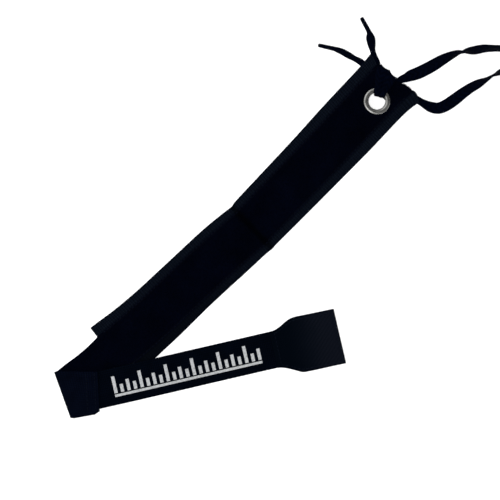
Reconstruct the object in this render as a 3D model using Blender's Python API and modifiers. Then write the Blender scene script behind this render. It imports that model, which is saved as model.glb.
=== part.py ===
"""Lace converter strap for a boxing glove, lying on a flat surface with its band folded back.

Lengths are in millimetres and MM turns them into Blender's metres. +X runs along the webbing panel towards
the eyelet, +Z is up, and the origin is on the panel's underside, at the middle of its length.
"""

import math

import bmesh
import bpy
from mathutils import Matrix, Vector

MM = 0.001

# Clear space between solids that touch on the real strap
GAP = 0.3

# Cloth thicknesses and widths
PANEL_THICK = 1.8
TAPE_THICK = 1.8
TAPE_WIDTH = 36.6
ELASTIC_THICK = 1.4
ELASTIC_WIDTH = 30.4
TAB_THICK = 2.6

# The panel's end is held up by the knot and lace beneath it
LIFT_HEIGHT = 5.5
LIFT_FROM = 80.0
LIFT_TO = 126.0

# A fold mark across the tape, pressed into the pile
CREASE_X = -7.0
CREASE_HALF_WIDTH = 2.5
CREASE_SHARE = 0.4

# The lace pulls the panel's end in where it is drawn round it, and the end bulges beside it
END_REACH = 14.0
END_SHAPE = (
    # y, how far the end stands out past its straight line
    (31.0, -0.2),
    (26.0, -1.1),
    (21.5, -2.9),
    (12.0, -2.9),
    (8.5, -2.1),
    (0.5, -1.9),
    (-1.6, -0.3),
    (-6.3, 2.1),
    (-11.0, 3.0),
    (-16.0, 3.5),
    (-20.2, 3.0),
    (-24.8, 0.0),
)

# Eyelet
EYELET_X = 138.5
EYELET_Y = 0.0
EYELET_HOLE_RADIUS = 8.0
EYELET_SIDES = 48
MERGE_DISTANCE = 0.01

# Lace
LACE_THICK = 1.4
FLOOR_GAP = 0.1
AGLET_WIDTH = 3.8
AGLET_DEPTH = 2.2
AGLET_TAPER = 0.84
AGLET_SIDES = 16
AGLET_SHARP_ANGLE = math.radians(40.0)

# How finely the strips are divided, across and along
PANEL_COLUMNS = 12
TAPE_COLUMNS = 10
BAND_COLUMNS = 4
LACE_COLUMNS = 2
PANEL_SAMPLES = 3
LACE_SAMPLES = 2
ELASTIC_STEPS = 8

# Edges of the panel in plan, from its lower end to its eyelet end
PANEL_EDGES = (
    # x at +y edge, y of +y edge, x at -y edge, y of -y edge
    (-159.5, 29.6, -165.0, -25.0),
    (-150.0, 28.4, -152.5, -25.2),
    (-133.0, 26.3, -133.0, -25.4),
    (-110.0, 24.8, -110.0, -25.8),
    (-74.0, 24.0, -74.0, -25.5),
    (-38.0, 23.3, -38.0, -26.4),
    (-15.0, 21.5, -15.0, -26.9),
    (-7.0, 20.6, -7.0, -27.5),
    (-1.0, 21.6, -1.0, -27.1),
    (26.0, 23.0, 26.0, -26.7),
    (66.0, 25.1, 66.0, -25.9),
    (106.0, 27.7, 106.0, -24.9),
    (146.0, 29.7, 146.0, -23.2),
    (162.0, 31.4, 162.5, -24.8),
)

# The tape past the panel's end, down to the surface
FREE_TAPE = (
    # x at +y edge, y of +y edge, x at -y edge, y of -y edge, height of the backing
    (-161.4, 20.0, -166.4, -16.4, PANEL_THICK + GAP),
    (-172.0, 19.9, -178.0, -15.8, 0.0),
    (-184.0, 20.7, -191.0, -15.0, 0.0),
    (-195.0, 22.2, -206.0, -14.4, 0.0),
)
FOLD_LINE = ((-206.0, 24.0), (-222.9, -13.4))
FOLD_RADIUS = 2.8
FOLD_STEPS = 8
FOLDED_END = (
    # x at the +y side, y at the +y side, x at the -y side, y at the -y side
    (-182.5, 1.8, -205.8, -24.3),
    (-180.1, -0.3, -201.5, -24.8),
)

# The elastic runs straight at this angle in plan. Its height follows what lies under it.
BAND_ANGLE = math.radians(-31.0)
BAND_OFFSET = -108.1
ELASTIC_HEIGHTS = (
    # distance along the band, height of the underside
    (-174.5, 2.1),
    (-153.8, 2.1),
    (-136.0, 4.4),
    (-107.0, 4.4),
    (-52.0, 0.0),
    (-9.9, 0.0),
)
TAB_OUTLINE = (
    # distance along the band, half width on the upper side, half width on the lower side
    (-9.6, 15.0, 15.2),
    (-5.0, 15.6, 16.2),
    (0.0, 17.6, 18.3),
    (5.0, 20.2, 20.9),
    (9.0, 21.9, 23.0),
    (11.5, 22.3, 23.6),
    (14.0, 22.5, 23.7),
    (46.0, 21.8, 24.2),
)

# Eyelet sections as distance from its axis and height over the flange's underside
FLANGE_HEIGHT = LIFT_HEIGHT + PANEL_THICK + GAP + TAPE_THICK + GAP
EYELET_FRONT = (
    (9.1, 1.5),
    (10.3, 1.2),
    (11.0, 0.4),
    (11.0, 0.0),
    (7.65, 0.0),
    (7.65, -5.6),
    (7.15, -5.6),
    (7.15, 0.7),
    (7.8, 1.3),
)
EYELET_BACK = (
    (8.0, -4.5),
    (10.6, -4.5),
    (11.0, -4.8),
    (11.0, -5.1),
    (10.5, -5.4),
    (8.0, -5.4),
)

# The lace lies on the surface, turned about its own line by its roll and raised by its lift
LACE_LOOP = (
    # x, y, width, roll in degrees, lift
    (147.6, 2.3, 5.4, 0.0, 0.0),
    (152.5, 0.8, 5.6, 0.0, 0.0),
    (158.5, -0.9, 5.4, 0.0, 0.0),
    (164.7, -1.4, 5.0, 6.0, 0.0),
    (169.2, -3.2, 7.0, 12.0, 0.0),
    (172.8, -4.3, 8.6, 14.0, 0.0),
    (179.3, -7.0, 9.4, 0.0, 0.0),
    (186.4, -9.3, 9.4, 4.0, 0.0),
    (193.5, -11.2, 9.4, 12.0, 0.0),
    (200.9, -13.0, 9.4, 29.0, 0.0),
    (207.8, -15.3, 9.4, 50.0, 0.0),
    (214.4, -18.2, 9.4, 76.0, 0.0),
    (219.9, -21.8, 9.4, 112.0, 0.0),
    (225.1, -25.7, 9.4, 133.0, 0.0),
    (230.8, -29.4, 9.4, 131.0, 0.0),
    (236.0, -33.4, 9.4, 123.0, 0.0),
    (243.0, -39.5, 9.4, 122.0, 0.0),
    (250.2, -49.0, 9.4, 145.0, 0.0),
    (256.5, -62.7, 9.4, 176.0, 0.0),
    (256.0, -77.5, 9.4, 180.0, 0.0),
    (249.8, -91.0, 9.4, 180.0, 0.0),
    (247.0, -106.0, 9.4, 180.0, 0.0),
    (250.0, -121.0, 9.4, 180.0, 0.0),
    (260.0, -134.0, 9.4, 180.0, 0.0),
    (276.0, -141.5, 9.4, 180.0, 0.0),
    (293.0, -138.5, 9.4, 180.0, 0.0),
    (304.5, -126.0, 9.4, 180.0, 0.0),
    (306.5, -110.0, 9.4, 180.0, 0.0),
    (299.0, -95.5, 9.4, 180.0, 0.0),
    (286.5, -84.0, 9.4, 180.0, 0.3),
    (273.5, -74.5, 9.4, 180.0, 1.3),
    (259.5, -66.0, 9.4, 176.0, 2.2),
    (246.8, -59.5, 9.4, 158.0, 1.4),
    (236.0, -55.6, 9.4, 126.0, 0.3),
    (226.7, -52.5, 9.4, 111.0, 0.0),
    (221.5, -50.9, 9.4, 84.0, 0.0),
    (216.1, -49.4, 9.4, 69.0, 0.0),
    (208.7, -47.4, 9.4, 47.0, 0.0),
    (201.5, -45.5, 9.4, 36.0, 0.0),
    (193.7, -44.2, 9.4, 28.0, 0.0),
    (185.3, -43.3, 9.4, 18.0, 0.0),
    (177.6, -42.0, 9.4, 10.0, 0.0),
    (171.0, -39.3, 9.4, 6.0, 0.0),
    (167.0, -33.9, 8.6, 4.0, 0.0),
    (164.6, -27.0, 5.8, 0.0, 0.0),
    (163.0, -21.0, 5.2, 0.0, 0.0),
    (159.5, -13.5, 5.2, 0.0, 0.0),
    (154.0, -8.6, 5.4, 0.0, 0.0),
    (148.0, -5.0, 5.4, 0.0, 0.0),
)
LACE_END_UPPER = (
    # x, y, width, roll in degrees, lift
    (154.8, 18.1, 5.0, 0.0, 1.2),
    (159.9, 21.6, 4.6, 0.0, 0.6),
    (162.8, 28.0, 4.0, 0.0, 0.1),
    (165.0, 32.4, 3.8, 0.0, 0.0),
    (167.8, 36.5, 6.2, 8.0, 0.0),
    (170.7, 40.7, 7.2, 10.0, 0.0),
    (172.8, 44.0, 4.2, 0.0, 0.0),
    (173.6, 45.6, 3.4, 0.0, 0.1),
)
LACE_END_LEFT = (
    # x, y, width, roll in degrees, lift
    (150.6, 18.3, 5.0, 0.0, 1.2),
    (151.8, 24.5, 5.0, 0.0, 0.5),
    (151.4, 32.5, 5.0, 0.0, 0.0),
    (149.7, 37.8, 4.2, 6.0, 0.0),
    (148.0, 43.2, 5.2, 12.0, 0.0),
    (146.4, 48.6, 5.0, 12.0, 0.0),
    (144.3, 53.4, 3.8, 0.0, 0.0),
    (143.3, 55.2, 3.2, 0.0, 0.1),
)
AGLET_TIPS = (
    # name, start x, start y, tip x, tip y
    ("aglet_upper", 173.8, 46.1, 177.1, 58.2),
    ("aglet_left", 143.0, 55.7, 135.9, 66.6),
)

# The two hitched strands come up through the eyelet, over the ring and round the panel's end to the knot
LACE_HITCH_LEFT = (
    # x, y, z, width, slant of the width from the Y axis in degrees
    (147.0, 2.5, 0.8, 5.4, -14.0),
    (143.6, 3.2, 1.2, 5.0, 2.0),
    (142.0, 3.6, 2.8, 4.8, 20.0),
    (141.3, 3.7, 5.4, 4.8, 25.0),
    (141.2, 3.8, 8.0, 4.8, 25.0),
    (141.5, 4.0, 10.6, 4.8, 25.0),
    (142.6, 4.8, 12.6, 5.0, 25.0),
    (144.6, 6.3, 13.2, 5.2, 25.0),
    (148.0, 8.3, 12.4, 5.6, 24.0),
    (151.8, 11.2, 10.9, 7.0, 18.0),
    (155.4, 13.9, 10.5, 8.6, 8.0),
    (158.6, 15.4, 10.5, 9.0, 0.0),
    (160.7, 15.6, 9.6, 9.0, 0.0),
    (161.5, 15.6, 7.4, 8.6, 0.0),
    (160.6, 15.4, 5.2, 7.6, 0.0),
    (158.9, 14.8, 4.2, 6.0, 0.0),
    (157.2, 14.2, 3.9, 4.6, 0.0),
)
LACE_HITCH_RIGHT = (
    # x, y, z, width, slant of the width from the Y axis in degrees
    (147.5, -4.7, 0.8, 5.4, -31.0),
    (144.9, -2.9, 1.2, 5.0, -10.0),
    (143.8, -1.6, 2.8, 4.8, 12.0),
    (143.2, -0.9, 5.4, 4.8, 25.0),
    (143.1, -0.8, 8.0, 4.8, 25.0),
    (143.4, -0.6, 10.6, 4.8, 25.0),
    (144.6, 0.0, 12.6, 5.0, 25.0),
    (146.9, 1.2, 13.2, 5.2, 25.0),
    (150.3, 2.6, 12.4, 5.6, 22.0),
    (153.4, 3.8, 10.9, 7.0, 14.0),
    (156.8, 4.9, 10.5, 8.0, 6.0),
    (159.7, 5.6, 10.5, 8.2, 0.0),
    (161.8, 5.8, 9.6, 8.2, 0.0),
    (162.6, 5.9, 7.4, 8.0, 0.0),
    (161.8, 6.1, 5.2, 7.4, 0.0),
    (160.1, 6.8, 4.2, 6.0, 0.0),
    (157.2, 7.7, 3.9, 4.6, 0.0),
)
KNOT_CENTRE = (151.4, 11.6, 2.6)
KNOT_SIZE = (11.0, 12.4, 4.6)
KNOT_SIDES = 16
KNOT_RINGS = 8

# Colour, roughness and metallic value of each material
FINISHES = {
    "navy_webbing": ((0.004, 0.006, 0.012), 0.75, 0.0),
    "black_loop_pile": ((0.001, 0.0012, 0.003), 0.95, 0.0),
    "navy_elastic": ((0.002, 0.003, 0.007), 0.8, 0.0),
    "navy_tab_cloth": ((0.005, 0.006, 0.012), 0.7, 0.0),
    "nickel_plate": ((0.5, 0.49, 0.47), 0.3, 1.0),
    "black_lace": ((0.003, 0.004, 0.008), 0.8, 0.0),
    "black_tip": ((0.004, 0.004, 0.006), 0.35, 0.0),
}


def clear_scene():
    for item in list(bpy.data.objects):
        bpy.data.objects.remove(item, do_unlink=True)


def new_collection(name):
    collection = bpy.data.collections.new(name)
    bpy.context.scene.collection.children.link(collection)
    return collection


def material(name):
    """The Principled material of that finish, made once."""
    found = bpy.data.materials.get(name)
    if found:
        return found
    colour, roughness, metallic = FINISHES[name]
    made = bpy.data.materials.new(name)
    made.use_nodes = True
    shader = made.node_tree.nodes["Principled BSDF"]
    shader.inputs["Base Color"].default_value = (*colour, 1.0)
    shader.inputs["Roughness"].default_value = roughness
    shader.inputs["Metallic"].default_value = metallic
    return made


def add_object(collection, name, mesh, finish):
    """Put a bmesh whose lengths are in millimetres into the scene as a named object."""
    bmesh.ops.scale(mesh, vec=(MM, MM, MM), verts=mesh.verts)
    data = bpy.data.meshes.new(name)
    mesh.to_mesh(data)
    mesh.free()
    item = bpy.data.objects.new(name, data)
    if finish:
        data.materials.append(material(finish))
    collection.objects.link(item)
    return item


def smooth_step(value, low, high):
    """Nought before low, one after high, and an even curve between."""
    share = min(max((value - low) / (high - low), 0.0), 1.0)
    return share * share * (3.0 - 2.0 * share)


def through(rows, samples):
    """Points of a smooth curve through the rows of a table, column by column."""
    rows = [Vector(row) for row in rows]
    last = len(rows) - 1
    points = []
    for index in range(last):
        before = rows[max(index - 1, 0)]
        start = rows[index]
        end = rows[index + 1]
        after = rows[min(index + 2, last)]
        for step in range(samples):
            t = step / samples
            pull = (end - before) * t + (2.0 * before - 5.0 * start + 4.0 * end - after) * t * t
            pull += (3.0 * start - before - 3.0 * end + after) * t * t * t
            points.append(start + 0.5 * pull)
    points.append(rows[last])
    return points


def at_place(rows, place):
    """The second column of a table where its falling first column is at that place."""
    for (high, first), (low, second) in zip(rows, rows[1:]):
        if place >= low:
            share = min((high - place) / (high - low), 1.0)
            return first + (second - first) * max(share, 0.0)
    return rows[-1][1]


def strip(collection, name, sections, columns, thickness, finish, offset=1.0, shape=None, shares=None):
    """A grid laid between two edges, one pair of edge points a section, and thickened with Solidify."""
    mesh = bmesh.new()
    last = len(sections) - 1
    bmesh.ops.create_grid(mesh, x_segments=columns, y_segments=last, size=0.5)
    rows = []
    for vert in mesh.verts:
        row = round((vert.co.y + 0.5) * last)
        start, end = sections[row]
        point = start.lerp(end, vert.co.x + 0.5)
        vert.co = shape(point) if shape else point
        rows.append(row)
    item = add_object(collection, name, mesh, finish)
    solid = item.modifiers.new("thickness", "SOLIDIFY")
    solid.thickness = thickness * MM
    solid.offset = offset
    if shares:
        group = item.vertex_groups.new(name="thickness_share")
        for index, row in enumerate(rows):
            group.add([index], shares[row], "REPLACE")
        solid.vertex_group = group.name
    return item


def panel_lift(x):
    """Height of the panel's underside at a place along it."""
    return LIFT_HEIGHT * smooth_step(x, LIFT_FROM, LIFT_TO)


def panel_sections():
    """The panel's two edges in plan, from its lower end to the eyelet."""
    pairs = []
    for x_plus, y_plus, x_minus, y_minus in through(PANEL_EDGES, PANEL_SAMPLES):
        plus = Vector((x_plus, y_plus, panel_lift(x_plus)))
        minus = Vector((x_minus, y_minus, panel_lift(x_minus)))
        pairs.append((plus, minus))
    return pairs


def shaped_end(point):
    """Draw the cloth near the panel's end in or out to the end's shape."""
    end = PANEL_EDGES[-1][0]
    reach = smooth_step(point.x, end - END_REACH, end)
    return point + Vector((at_place(END_SHAPE, point.y) * reach, 0.0, 0.0))


def eyelet_cutter(collection):
    """The round hole for the eyelet, as a hidden cutter."""
    mesh = bmesh.new()
    bmesh.ops.create_cone(
        mesh,
        cap_ends=True,
        segments=EYELET_SIDES,
        radius1=EYELET_HOLE_RADIUS,
        radius2=EYELET_HOLE_RADIUS,
        depth=4.0 * LIFT_HEIGHT,
    )
    bmesh.ops.translate(mesh, vec=(EYELET_X, EYELET_Y, LIFT_HEIGHT), verts=mesh.verts)
    cutter = add_object(collection, "eyelet_hole_cutter", mesh, None)
    cutter.hide_render = True
    cutter.display_type = "WIRE"
    return cutter


def punch(item, cutter):
    hole = item.modifiers.new("eyelet hole", "BOOLEAN")
    hole.operation = "DIFFERENCE"
    hole.solver = "EXACT"
    hole.object = cutter


def base_panel(collection, cutter):
    sections = panel_sections()
    item = strip(
        collection, "base_panel", sections, PANEL_COLUMNS, PANEL_THICK, "navy_webbing", shape=shaped_end
    )
    punch(item, cutter)


def tape_on_panel():
    """The tape's backing along the middle of the panel, from the eyelet end down."""
    sections = []
    for plus, minus in reversed(panel_sections()):
        middle = (plus + minus) / 2.0
        half = (plus - minus).normalized() * TAPE_WIDTH / 2.0
        rise = Vector((0.0, 0.0, PANEL_THICK + GAP))
        sections.append((middle - half + rise, middle + half + rise))
    return sections


def tape_fold():
    """The half turn of the fold, about a line set in from the fold's outer edge."""
    plus = Vector((*FOLD_LINE[0], FOLD_RADIUS))
    minus = Vector((*FOLD_LINE[1], FOLD_RADIUS))
    along = (minus - plus).normalized()
    outward = Vector((along.y, -along.x, 0.0))
    sections = []
    for step in range(FOLD_STEPS + 1):
        angle = math.pi * (step / FOLD_STEPS - 0.5)
        turn = outward * (FOLD_RADIUS * (math.cos(angle) - 1.0))
        turn += Vector((0.0, 0.0, FOLD_RADIUS * math.sin(angle)))
        sections.append((minus + turn, plus + turn))
    return sections


def crease_share(section):
    """Share of the tape's thickness that is left at a section, less at the crease."""
    distance = abs((section[0].x + section[1].x) / 2.0 - CREASE_X)
    return CREASE_SHARE + (1.0 - CREASE_SHARE) * smooth_step(distance, 0.0, CREASE_HALF_WIDTH)


def loop_tape(collection, cutter):
    on_panel = tape_on_panel()
    sections = list(on_panel)
    for x_plus, y_plus, x_minus, y_minus, height in FREE_TAPE:
        sections.append((Vector((x_minus, y_minus, height)), Vector((x_plus, y_plus, height))))
    sections += tape_fold()
    for x_plus, y_plus, x_minus, y_minus in FOLDED_END:
        height = 2.0 * FOLD_RADIUS
        sections.append((Vector((x_minus, y_minus, height)), Vector((x_plus, y_plus, height))))
    shares = [crease_share(section) for section in on_panel] + [1.0] * (len(sections) - len(on_panel))
    item = strip(
        collection,
        "loop_tape",
        sections,
        TAPE_COLUMNS,
        TAPE_THICK,
        "black_loop_pile",
        shape=shaped_end,
        shares=shares,
    )
    punch(item, cutter)


def band_point(distance, sideways, height):
    """A point of the straight band, by its distance along it and its offset from the middle."""
    along = Vector((math.cos(BAND_ANGLE), math.sin(BAND_ANGLE), 0.0))
    across = Vector((-along.y, along.x, 0.0))
    return along * distance + across * (BAND_OFFSET + sideways) + Vector((0.0, 0.0, height))


def elastic_band(collection):
    sections = []
    half = ELASTIC_WIDTH / 2.0
    for (start, low), (end, high) in zip(ELASTIC_HEIGHTS, ELASTIC_HEIGHTS[1:]):
        steps = 1 if low == high else ELASTIC_STEPS
        for step in range(steps):
            distance = start + (end - start) * step / steps
            height = low + (high - low) * smooth_step(distance, start, end)
            sections.append((band_point(distance, half, height), band_point(distance, -half, height)))
    distance, height = ELASTIC_HEIGHTS[-1]
    sections.append((band_point(distance, half, height), band_point(distance, -half, height)))
    strip(collection, "elastic_band", sections, BAND_COLUMNS, ELASTIC_THICK, "navy_elastic")


def end_tab(collection):
    sections = []
    for distance, upper, lower in TAB_OUTLINE:
        sections.append((band_point(distance, upper, 0.0), band_point(distance, -lower, 0.0)))
    strip(collection, "end_tab", sections, BAND_COLUMNS, TAB_THICK, "navy_tab_cloth")


def turned(collection, name, profile, finish):
    """A closed section, given as radius and height, turned about the eyelet's axis."""
    mesh = bmesh.new()
    verts = [mesh.verts.new((radius, 0.0, height)) for radius, height in profile]
    for start, end in zip(verts, verts[1:] + verts[:1]):
        mesh.edges.new((start, end))
    item = add_object(collection, name, mesh, finish)
    item.location = Vector((EYELET_X, EYELET_Y, FLANGE_HEIGHT)) * MM
    screw = item.modifiers.new("turned", "SCREW")
    screw.steps = EYELET_SIDES
    screw.render_steps = EYELET_SIDES
    screw.use_merge_vertices = True
    screw.merge_threshold = MERGE_DISTANCE * MM
    screw.use_smooth_shade = True
    return item


def lying_lace(collection, name, rows):
    """A flat lace on the surface, each row with its place, width, roll and lift."""
    points = through(rows, LACE_SAMPLES)
    last = len(points) - 1
    sections = []
    for index, (x, y, width, roll, lift) in enumerate(points):
        ahead = points[min(index + 1, last)]
        behind = points[max(index - 1, 0)]
        along = Vector((ahead[0] - behind[0], ahead[1] - behind[1], 0.0)).normalized()
        turn = math.radians(roll)
        side = Vector((-along.y, along.x, 0.0)) * math.cos(turn) + Vector((0.0, 0.0, math.sin(turn)))
        height = 0.5 * (width * abs(math.sin(turn)) + LACE_THICK * abs(math.cos(turn))) + FLOOR_GAP + lift
        centre = Vector((x, y, height))
        sections.append((centre + side * width / 2.0, centre - side * width / 2.0))
    strip(collection, name, sections, LACE_COLUMNS, LACE_THICK, "black_lace", offset=0.0)


def hitched_lace(collection, name, rows):
    """A strand that rises through the eyelet and bends over the panel's end, its width always level."""
    sections = []
    for x, y, z, width, slant in through(rows, LACE_SAMPLES):
        turn = math.radians(slant)
        side = Vector((-math.sin(turn), math.cos(turn), 0.0))
        centre = Vector((x, y, z))
        sections.append((centre + side * width / 2.0, centre - side * width / 2.0))
    strip(collection, name, sections, LACE_COLUMNS, LACE_THICK, "black_lace", offset=0.0)


def lace_knot(collection):
    mesh = bmesh.new()
    bmesh.ops.create_uvsphere(mesh, u_segments=KNOT_SIDES, v_segments=KNOT_RINGS, radius=0.5)
    bmesh.ops.scale(mesh, vec=KNOT_SIZE, verts=mesh.verts)
    bmesh.ops.translate(mesh, vec=KNOT_CENTRE, verts=mesh.verts)
    item = add_object(collection, "lace_knot", mesh, "black_lace")
    item.data.shade_smooth()


def aglet(collection, name, start_x, start_y, tip_x, tip_y):
    """A flattened tip, lying on the surface from the lace's end to its point."""
    start = Vector((start_x, start_y, 0.0))
    tip = Vector((tip_x, tip_y, 0.0))
    along = (tip - start).normalized()
    across = Vector((-along.y, along.x, 0.0))
    mesh = bmesh.new()
    bmesh.ops.create_cone(
        mesh,
        cap_ends=True,
        segments=AGLET_SIDES,
        radius1=0.5,
        radius2=0.5 * AGLET_TAPER,
        depth=(tip - start).length,
    )
    bmesh.ops.scale(mesh, vec=(AGLET_WIDTH, AGLET_DEPTH, 1.0), verts=mesh.verts)
    axes = Matrix((across, Vector((0.0, 0.0, 1.0)), along)).transposed().to_4x4()
    bmesh.ops.transform(mesh, matrix=axes, verts=mesh.verts)
    middle = (start + tip) / 2.0 + Vector((0.0, 0.0, AGLET_DEPTH / 2.0 + FLOOR_GAP))
    bmesh.ops.translate(mesh, vec=middle, verts=mesh.verts)
    bmesh.ops.recalc_face_normals(mesh, faces=mesh.faces)
    item = add_object(collection, name, mesh, "black_tip")
    item.data.shade_smooth()
    item.data.set_sharp_from_angle(angle=AGLET_SHARP_ANGLE)


def main():
    clear_scene()
    parts = new_collection("lace_converter_strap")
    cutters = new_collection("cutters")
    cutter = eyelet_cutter(cutters)
    base_panel(parts, cutter)
    loop_tape(parts, cutter)
    elastic_band(parts)
    end_tab(parts)
    turned(parts, "eyelet_front", EYELET_FRONT, "nickel_plate")
    turned(parts, "eyelet_back", EYELET_BACK, "nickel_plate")
    lying_lace(parts, "lace_loop", LACE_LOOP)
    lying_lace(parts, "lace_end_upper", LACE_END_UPPER)
    lying_lace(parts, "lace_end_left", LACE_END_LEFT)
    hitched_lace(parts, "lace_hitch_left", LACE_HITCH_LEFT)
    hitched_lace(parts, "lace_hitch_right", LACE_HITCH_RIGHT)
    lace_knot(parts)
    for row in AGLET_TIPS:
        aglet(parts, *row)


main()
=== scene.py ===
"""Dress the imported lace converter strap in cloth, pile, thread, metal and lace, on white paper.

Tables and sizes are in millimetres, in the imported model's frame, and MM turns them into Blender's metres.
"""

import math
import random

import bmesh
import bpy
from bpy.props import FloatProperty, FloatVectorProperty, PointerProperty
from mathutils import Matrix, Vector, noise


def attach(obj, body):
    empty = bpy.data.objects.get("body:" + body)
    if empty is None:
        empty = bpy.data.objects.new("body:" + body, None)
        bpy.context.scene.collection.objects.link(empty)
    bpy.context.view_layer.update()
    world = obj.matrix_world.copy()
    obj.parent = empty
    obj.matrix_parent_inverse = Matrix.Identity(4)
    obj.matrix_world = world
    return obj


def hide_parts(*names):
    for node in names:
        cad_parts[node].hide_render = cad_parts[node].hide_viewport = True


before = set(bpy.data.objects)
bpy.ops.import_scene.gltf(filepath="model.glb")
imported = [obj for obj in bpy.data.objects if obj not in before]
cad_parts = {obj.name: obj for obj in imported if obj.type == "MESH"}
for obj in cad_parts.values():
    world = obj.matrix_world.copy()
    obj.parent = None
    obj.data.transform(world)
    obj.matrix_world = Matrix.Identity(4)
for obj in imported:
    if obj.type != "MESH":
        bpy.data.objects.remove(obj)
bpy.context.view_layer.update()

bl_info = {
    "name": "Lace converter strap",
    "version": (1, 0, 0),
    "blender": (4, 5, 0),
    "location": "3D view, sidebar, Strap",
    "description": "Builds the cloth, stitching, eyelet and lace of a strap round its packed solids",
    "category": "Object",
}

MM = 0.001
BODY = "root"

# UV map that holds millimetres across and along a strip of cloth or lace
WEAVE = "weave"

# A wave texture of scale one repeats after this length, so scale is WAVE over the spacing wanted
WAVE = math.pi / 10.0

# Faces that meet at more than the first angle shade as an edge, and at more than the second are rounded
SHARP = math.radians(45.0)
ROUNDED = math.radians(55.0)

# Points nearer than this are one point
MERGE = 0.001

UP = Vector((0.0, 0.0, 1.0))

# The stage: what points right in the picture, the floor's half size, where the camera stands, and its sensor
PICTURE_RIGHT = Vector((0.71934, -0.69466, 0.0))
FLOOR_HALF_SIZE = 14000.0
CAMERA_PLACE = (-20.9, -15.5)
SENSOR_WIDTH = 36.0

# The sky goes from its sides' light to its zenith's between these heights of a direction one unit long,
# and it falls from the left share of that light to the right one across the picture
SKY_SIDES_TO = 0.8
SKY_ZENITH_FROM = 0.97
SKY_LEFT = 1.35
SKY_RIGHT = 0.2

# The top softbox gives no reflection, as if the metal mirrored the dark camera above it
SOFTBOXES = (
    # name, setting that holds its power, width, x, y, z, whether the metal mirrors it
    ("key_softbox", "key", 1300.0, -1250.0, -150.0, 1450.0, True),
    ("fill_softbox", "fill", 1300.0, -150.0, 1250.0, 1450.0, True),
    ("top_softbox", "top", 600.0, 0.0, 0.0, 4500.0, False),
)

# Thicknesses and widths of cloth and lace, how high the tape's backing is over the panel's underside, and the
# least gap between the lace and the floor
PANEL_THICK = 1.8
TAPE_THICK = 1.8
TAPE_WIDTH = 36.6
TAPE_RISE = 2.1
ELASTIC_THICK = 1.4
ELASTIC_WIDTH = 30.4
LACE_WIDTH = 9.4
LACE_THICK = 1.2
FLOOR_GAP = 0.1

# The panel's end is held up by the knot and lace beneath it
LIFT_HEIGHT = 5.5
LIFT_FROM = 80.0
LIFT_TO = 126.0

# A fold mark across the tape, pressed into the pile, where the webbing and the pile are also painted darker
# as painted shade
CREASE_X = -7.0
CREASE_HALF_WIDTH = 3.0
CREASE_SHARE = 0.4

# The webbing is painted darker, as painted shade, where x and four times y come to less than the second sum,
# and darkest below the first
PAINTED_SHADE_TOWARDS = (1.0, 4.0, 0.0)
PAINTED_SHADE_FROM = -230.0
PAINTED_SHADE_TO = -75.0

# The panel's unevenness comes in between the first two places and goes out between the other two, and its
# waves are this long along and across it
RIPPLE_STARTS = (-152.0, -128.0)
RIPPLE_ENDS = (60.0, 90.0)
RIPPLE_WAVES = (31.0, 24.0)
RIPPLE_SEED = 0.7

# The tape's bare margins are thinner than its pile, and the pile's thickness varies from clump to clump
MARGIN = 1.7
MARGIN_SHARE = 0.45
TAPE_COLUMNS = 22
TAPE_EDGE_COLUMNS = (0.0, MARGIN - 0.1, MARGIN + 0.3)
PILE_CLUMP = 3.2
PILE_LEAST = 0.86

# Loops stand in the pile by their sink. They keep clear of its margins, and where the tape has come down to
# the surface past the panel, of what covers its flat faces.
LOOP_WIRE = 0.14
LOOP_SINK = 0.25
LOOP_MARGIN = 0.8
LOOP_CLEARANCE = 1.0
LOOP_LEAN = 0.1
TAPE_DOWN_AT = -172.0
FLAT_ENOUGH = 0.7

# Edges of the panel in plan, from its lower end to its eyelet end
PANEL_EDGES = (
    # x at +y edge, y of +y edge, x at -y edge, y of -y edge
    (-159.5, 29.6, -165.0, -25.0),
    (-150.0, 28.4, -152.5, -25.2),
    (-133.0, 26.3, -133.0, -25.4),
    (-110.0, 24.8, -110.0, -25.8),
    (-74.0, 24.0, -74.0, -25.5),
    (-38.0, 23.3, -38.0, -26.4),
    (-15.0, 21.5, -15.0, -26.9),
    (-7.0, 20.6, -7.0, -27.5),
    (-1.0, 21.6, -1.0, -27.1),
    (26.0, 23.0, 26.0, -26.7),
    (66.0, 25.1, 66.0, -25.9),
    (106.0, 27.7, 106.0, -24.9),
    (146.0, 29.7, 146.0, -23.2),
    (162.0, 31.4, 162.5, -24.8),
)
PANEL_SAMPLES = 14
PANEL_COLUMNS = 26
PANEL_EDGE_COLUMNS = (0.0, 0.6, 1.4)
PANEL_ROUND = 0.3
SELVAGE_WIDTH = 3.5
SELVAGE_SHARE = 0.82

# The lace pulls the panel's end in where it is drawn round it, and the end bulges beside it
END_REACH = 14.0
END_SHAPE = (
    # y, how far the end stands out past its straight line
    (31.0, -0.2),
    (26.0, -1.1),
    (21.5, -2.9),
    (12.0, -2.9),
    (8.5, -2.1),
    (0.5, -1.9),
    (-1.6, -0.3),
    (-6.3, 2.1),
    (-11.0, 3.0),
    (-13.6, 2.9),
    (-15.6, 4.1),
    (-18.0, 3.9),
    (-20.6, 2.9),
    (-24.8, 0.0),
)

# The tape past the panel's end, down to the surface
FREE_TAPE = (
    # x at +y edge, y of +y edge, x at -y edge, y of -y edge, height of the backing
    (-161.4, 20.0, -166.4, -16.4, TAPE_RISE),
    (-172.0, 19.9, -178.0, -15.8, 0.0),
    (-184.0, 20.7, -191.0, -15.0, 0.0),
    (-195.0, 22.2, -206.0, -14.4, 0.0),
)
FREE_SAMPLES = 5
FOLD_LINE = ((-206.0, 24.0), (-222.9, -13.4))
FOLD_RADIUS = 2.8
FOLD_STEPS = 16
FOLD_CORNER = 1.3
FOLDED_END = (
    # x at the +y side, y at the +y side, x at the -y side, y at the -y side
    (-182.5, 1.8, -205.8, -24.3),
    (-180.1, -0.3, -201.5, -24.8),
)
FOLDED_STEPS = 10

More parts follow.
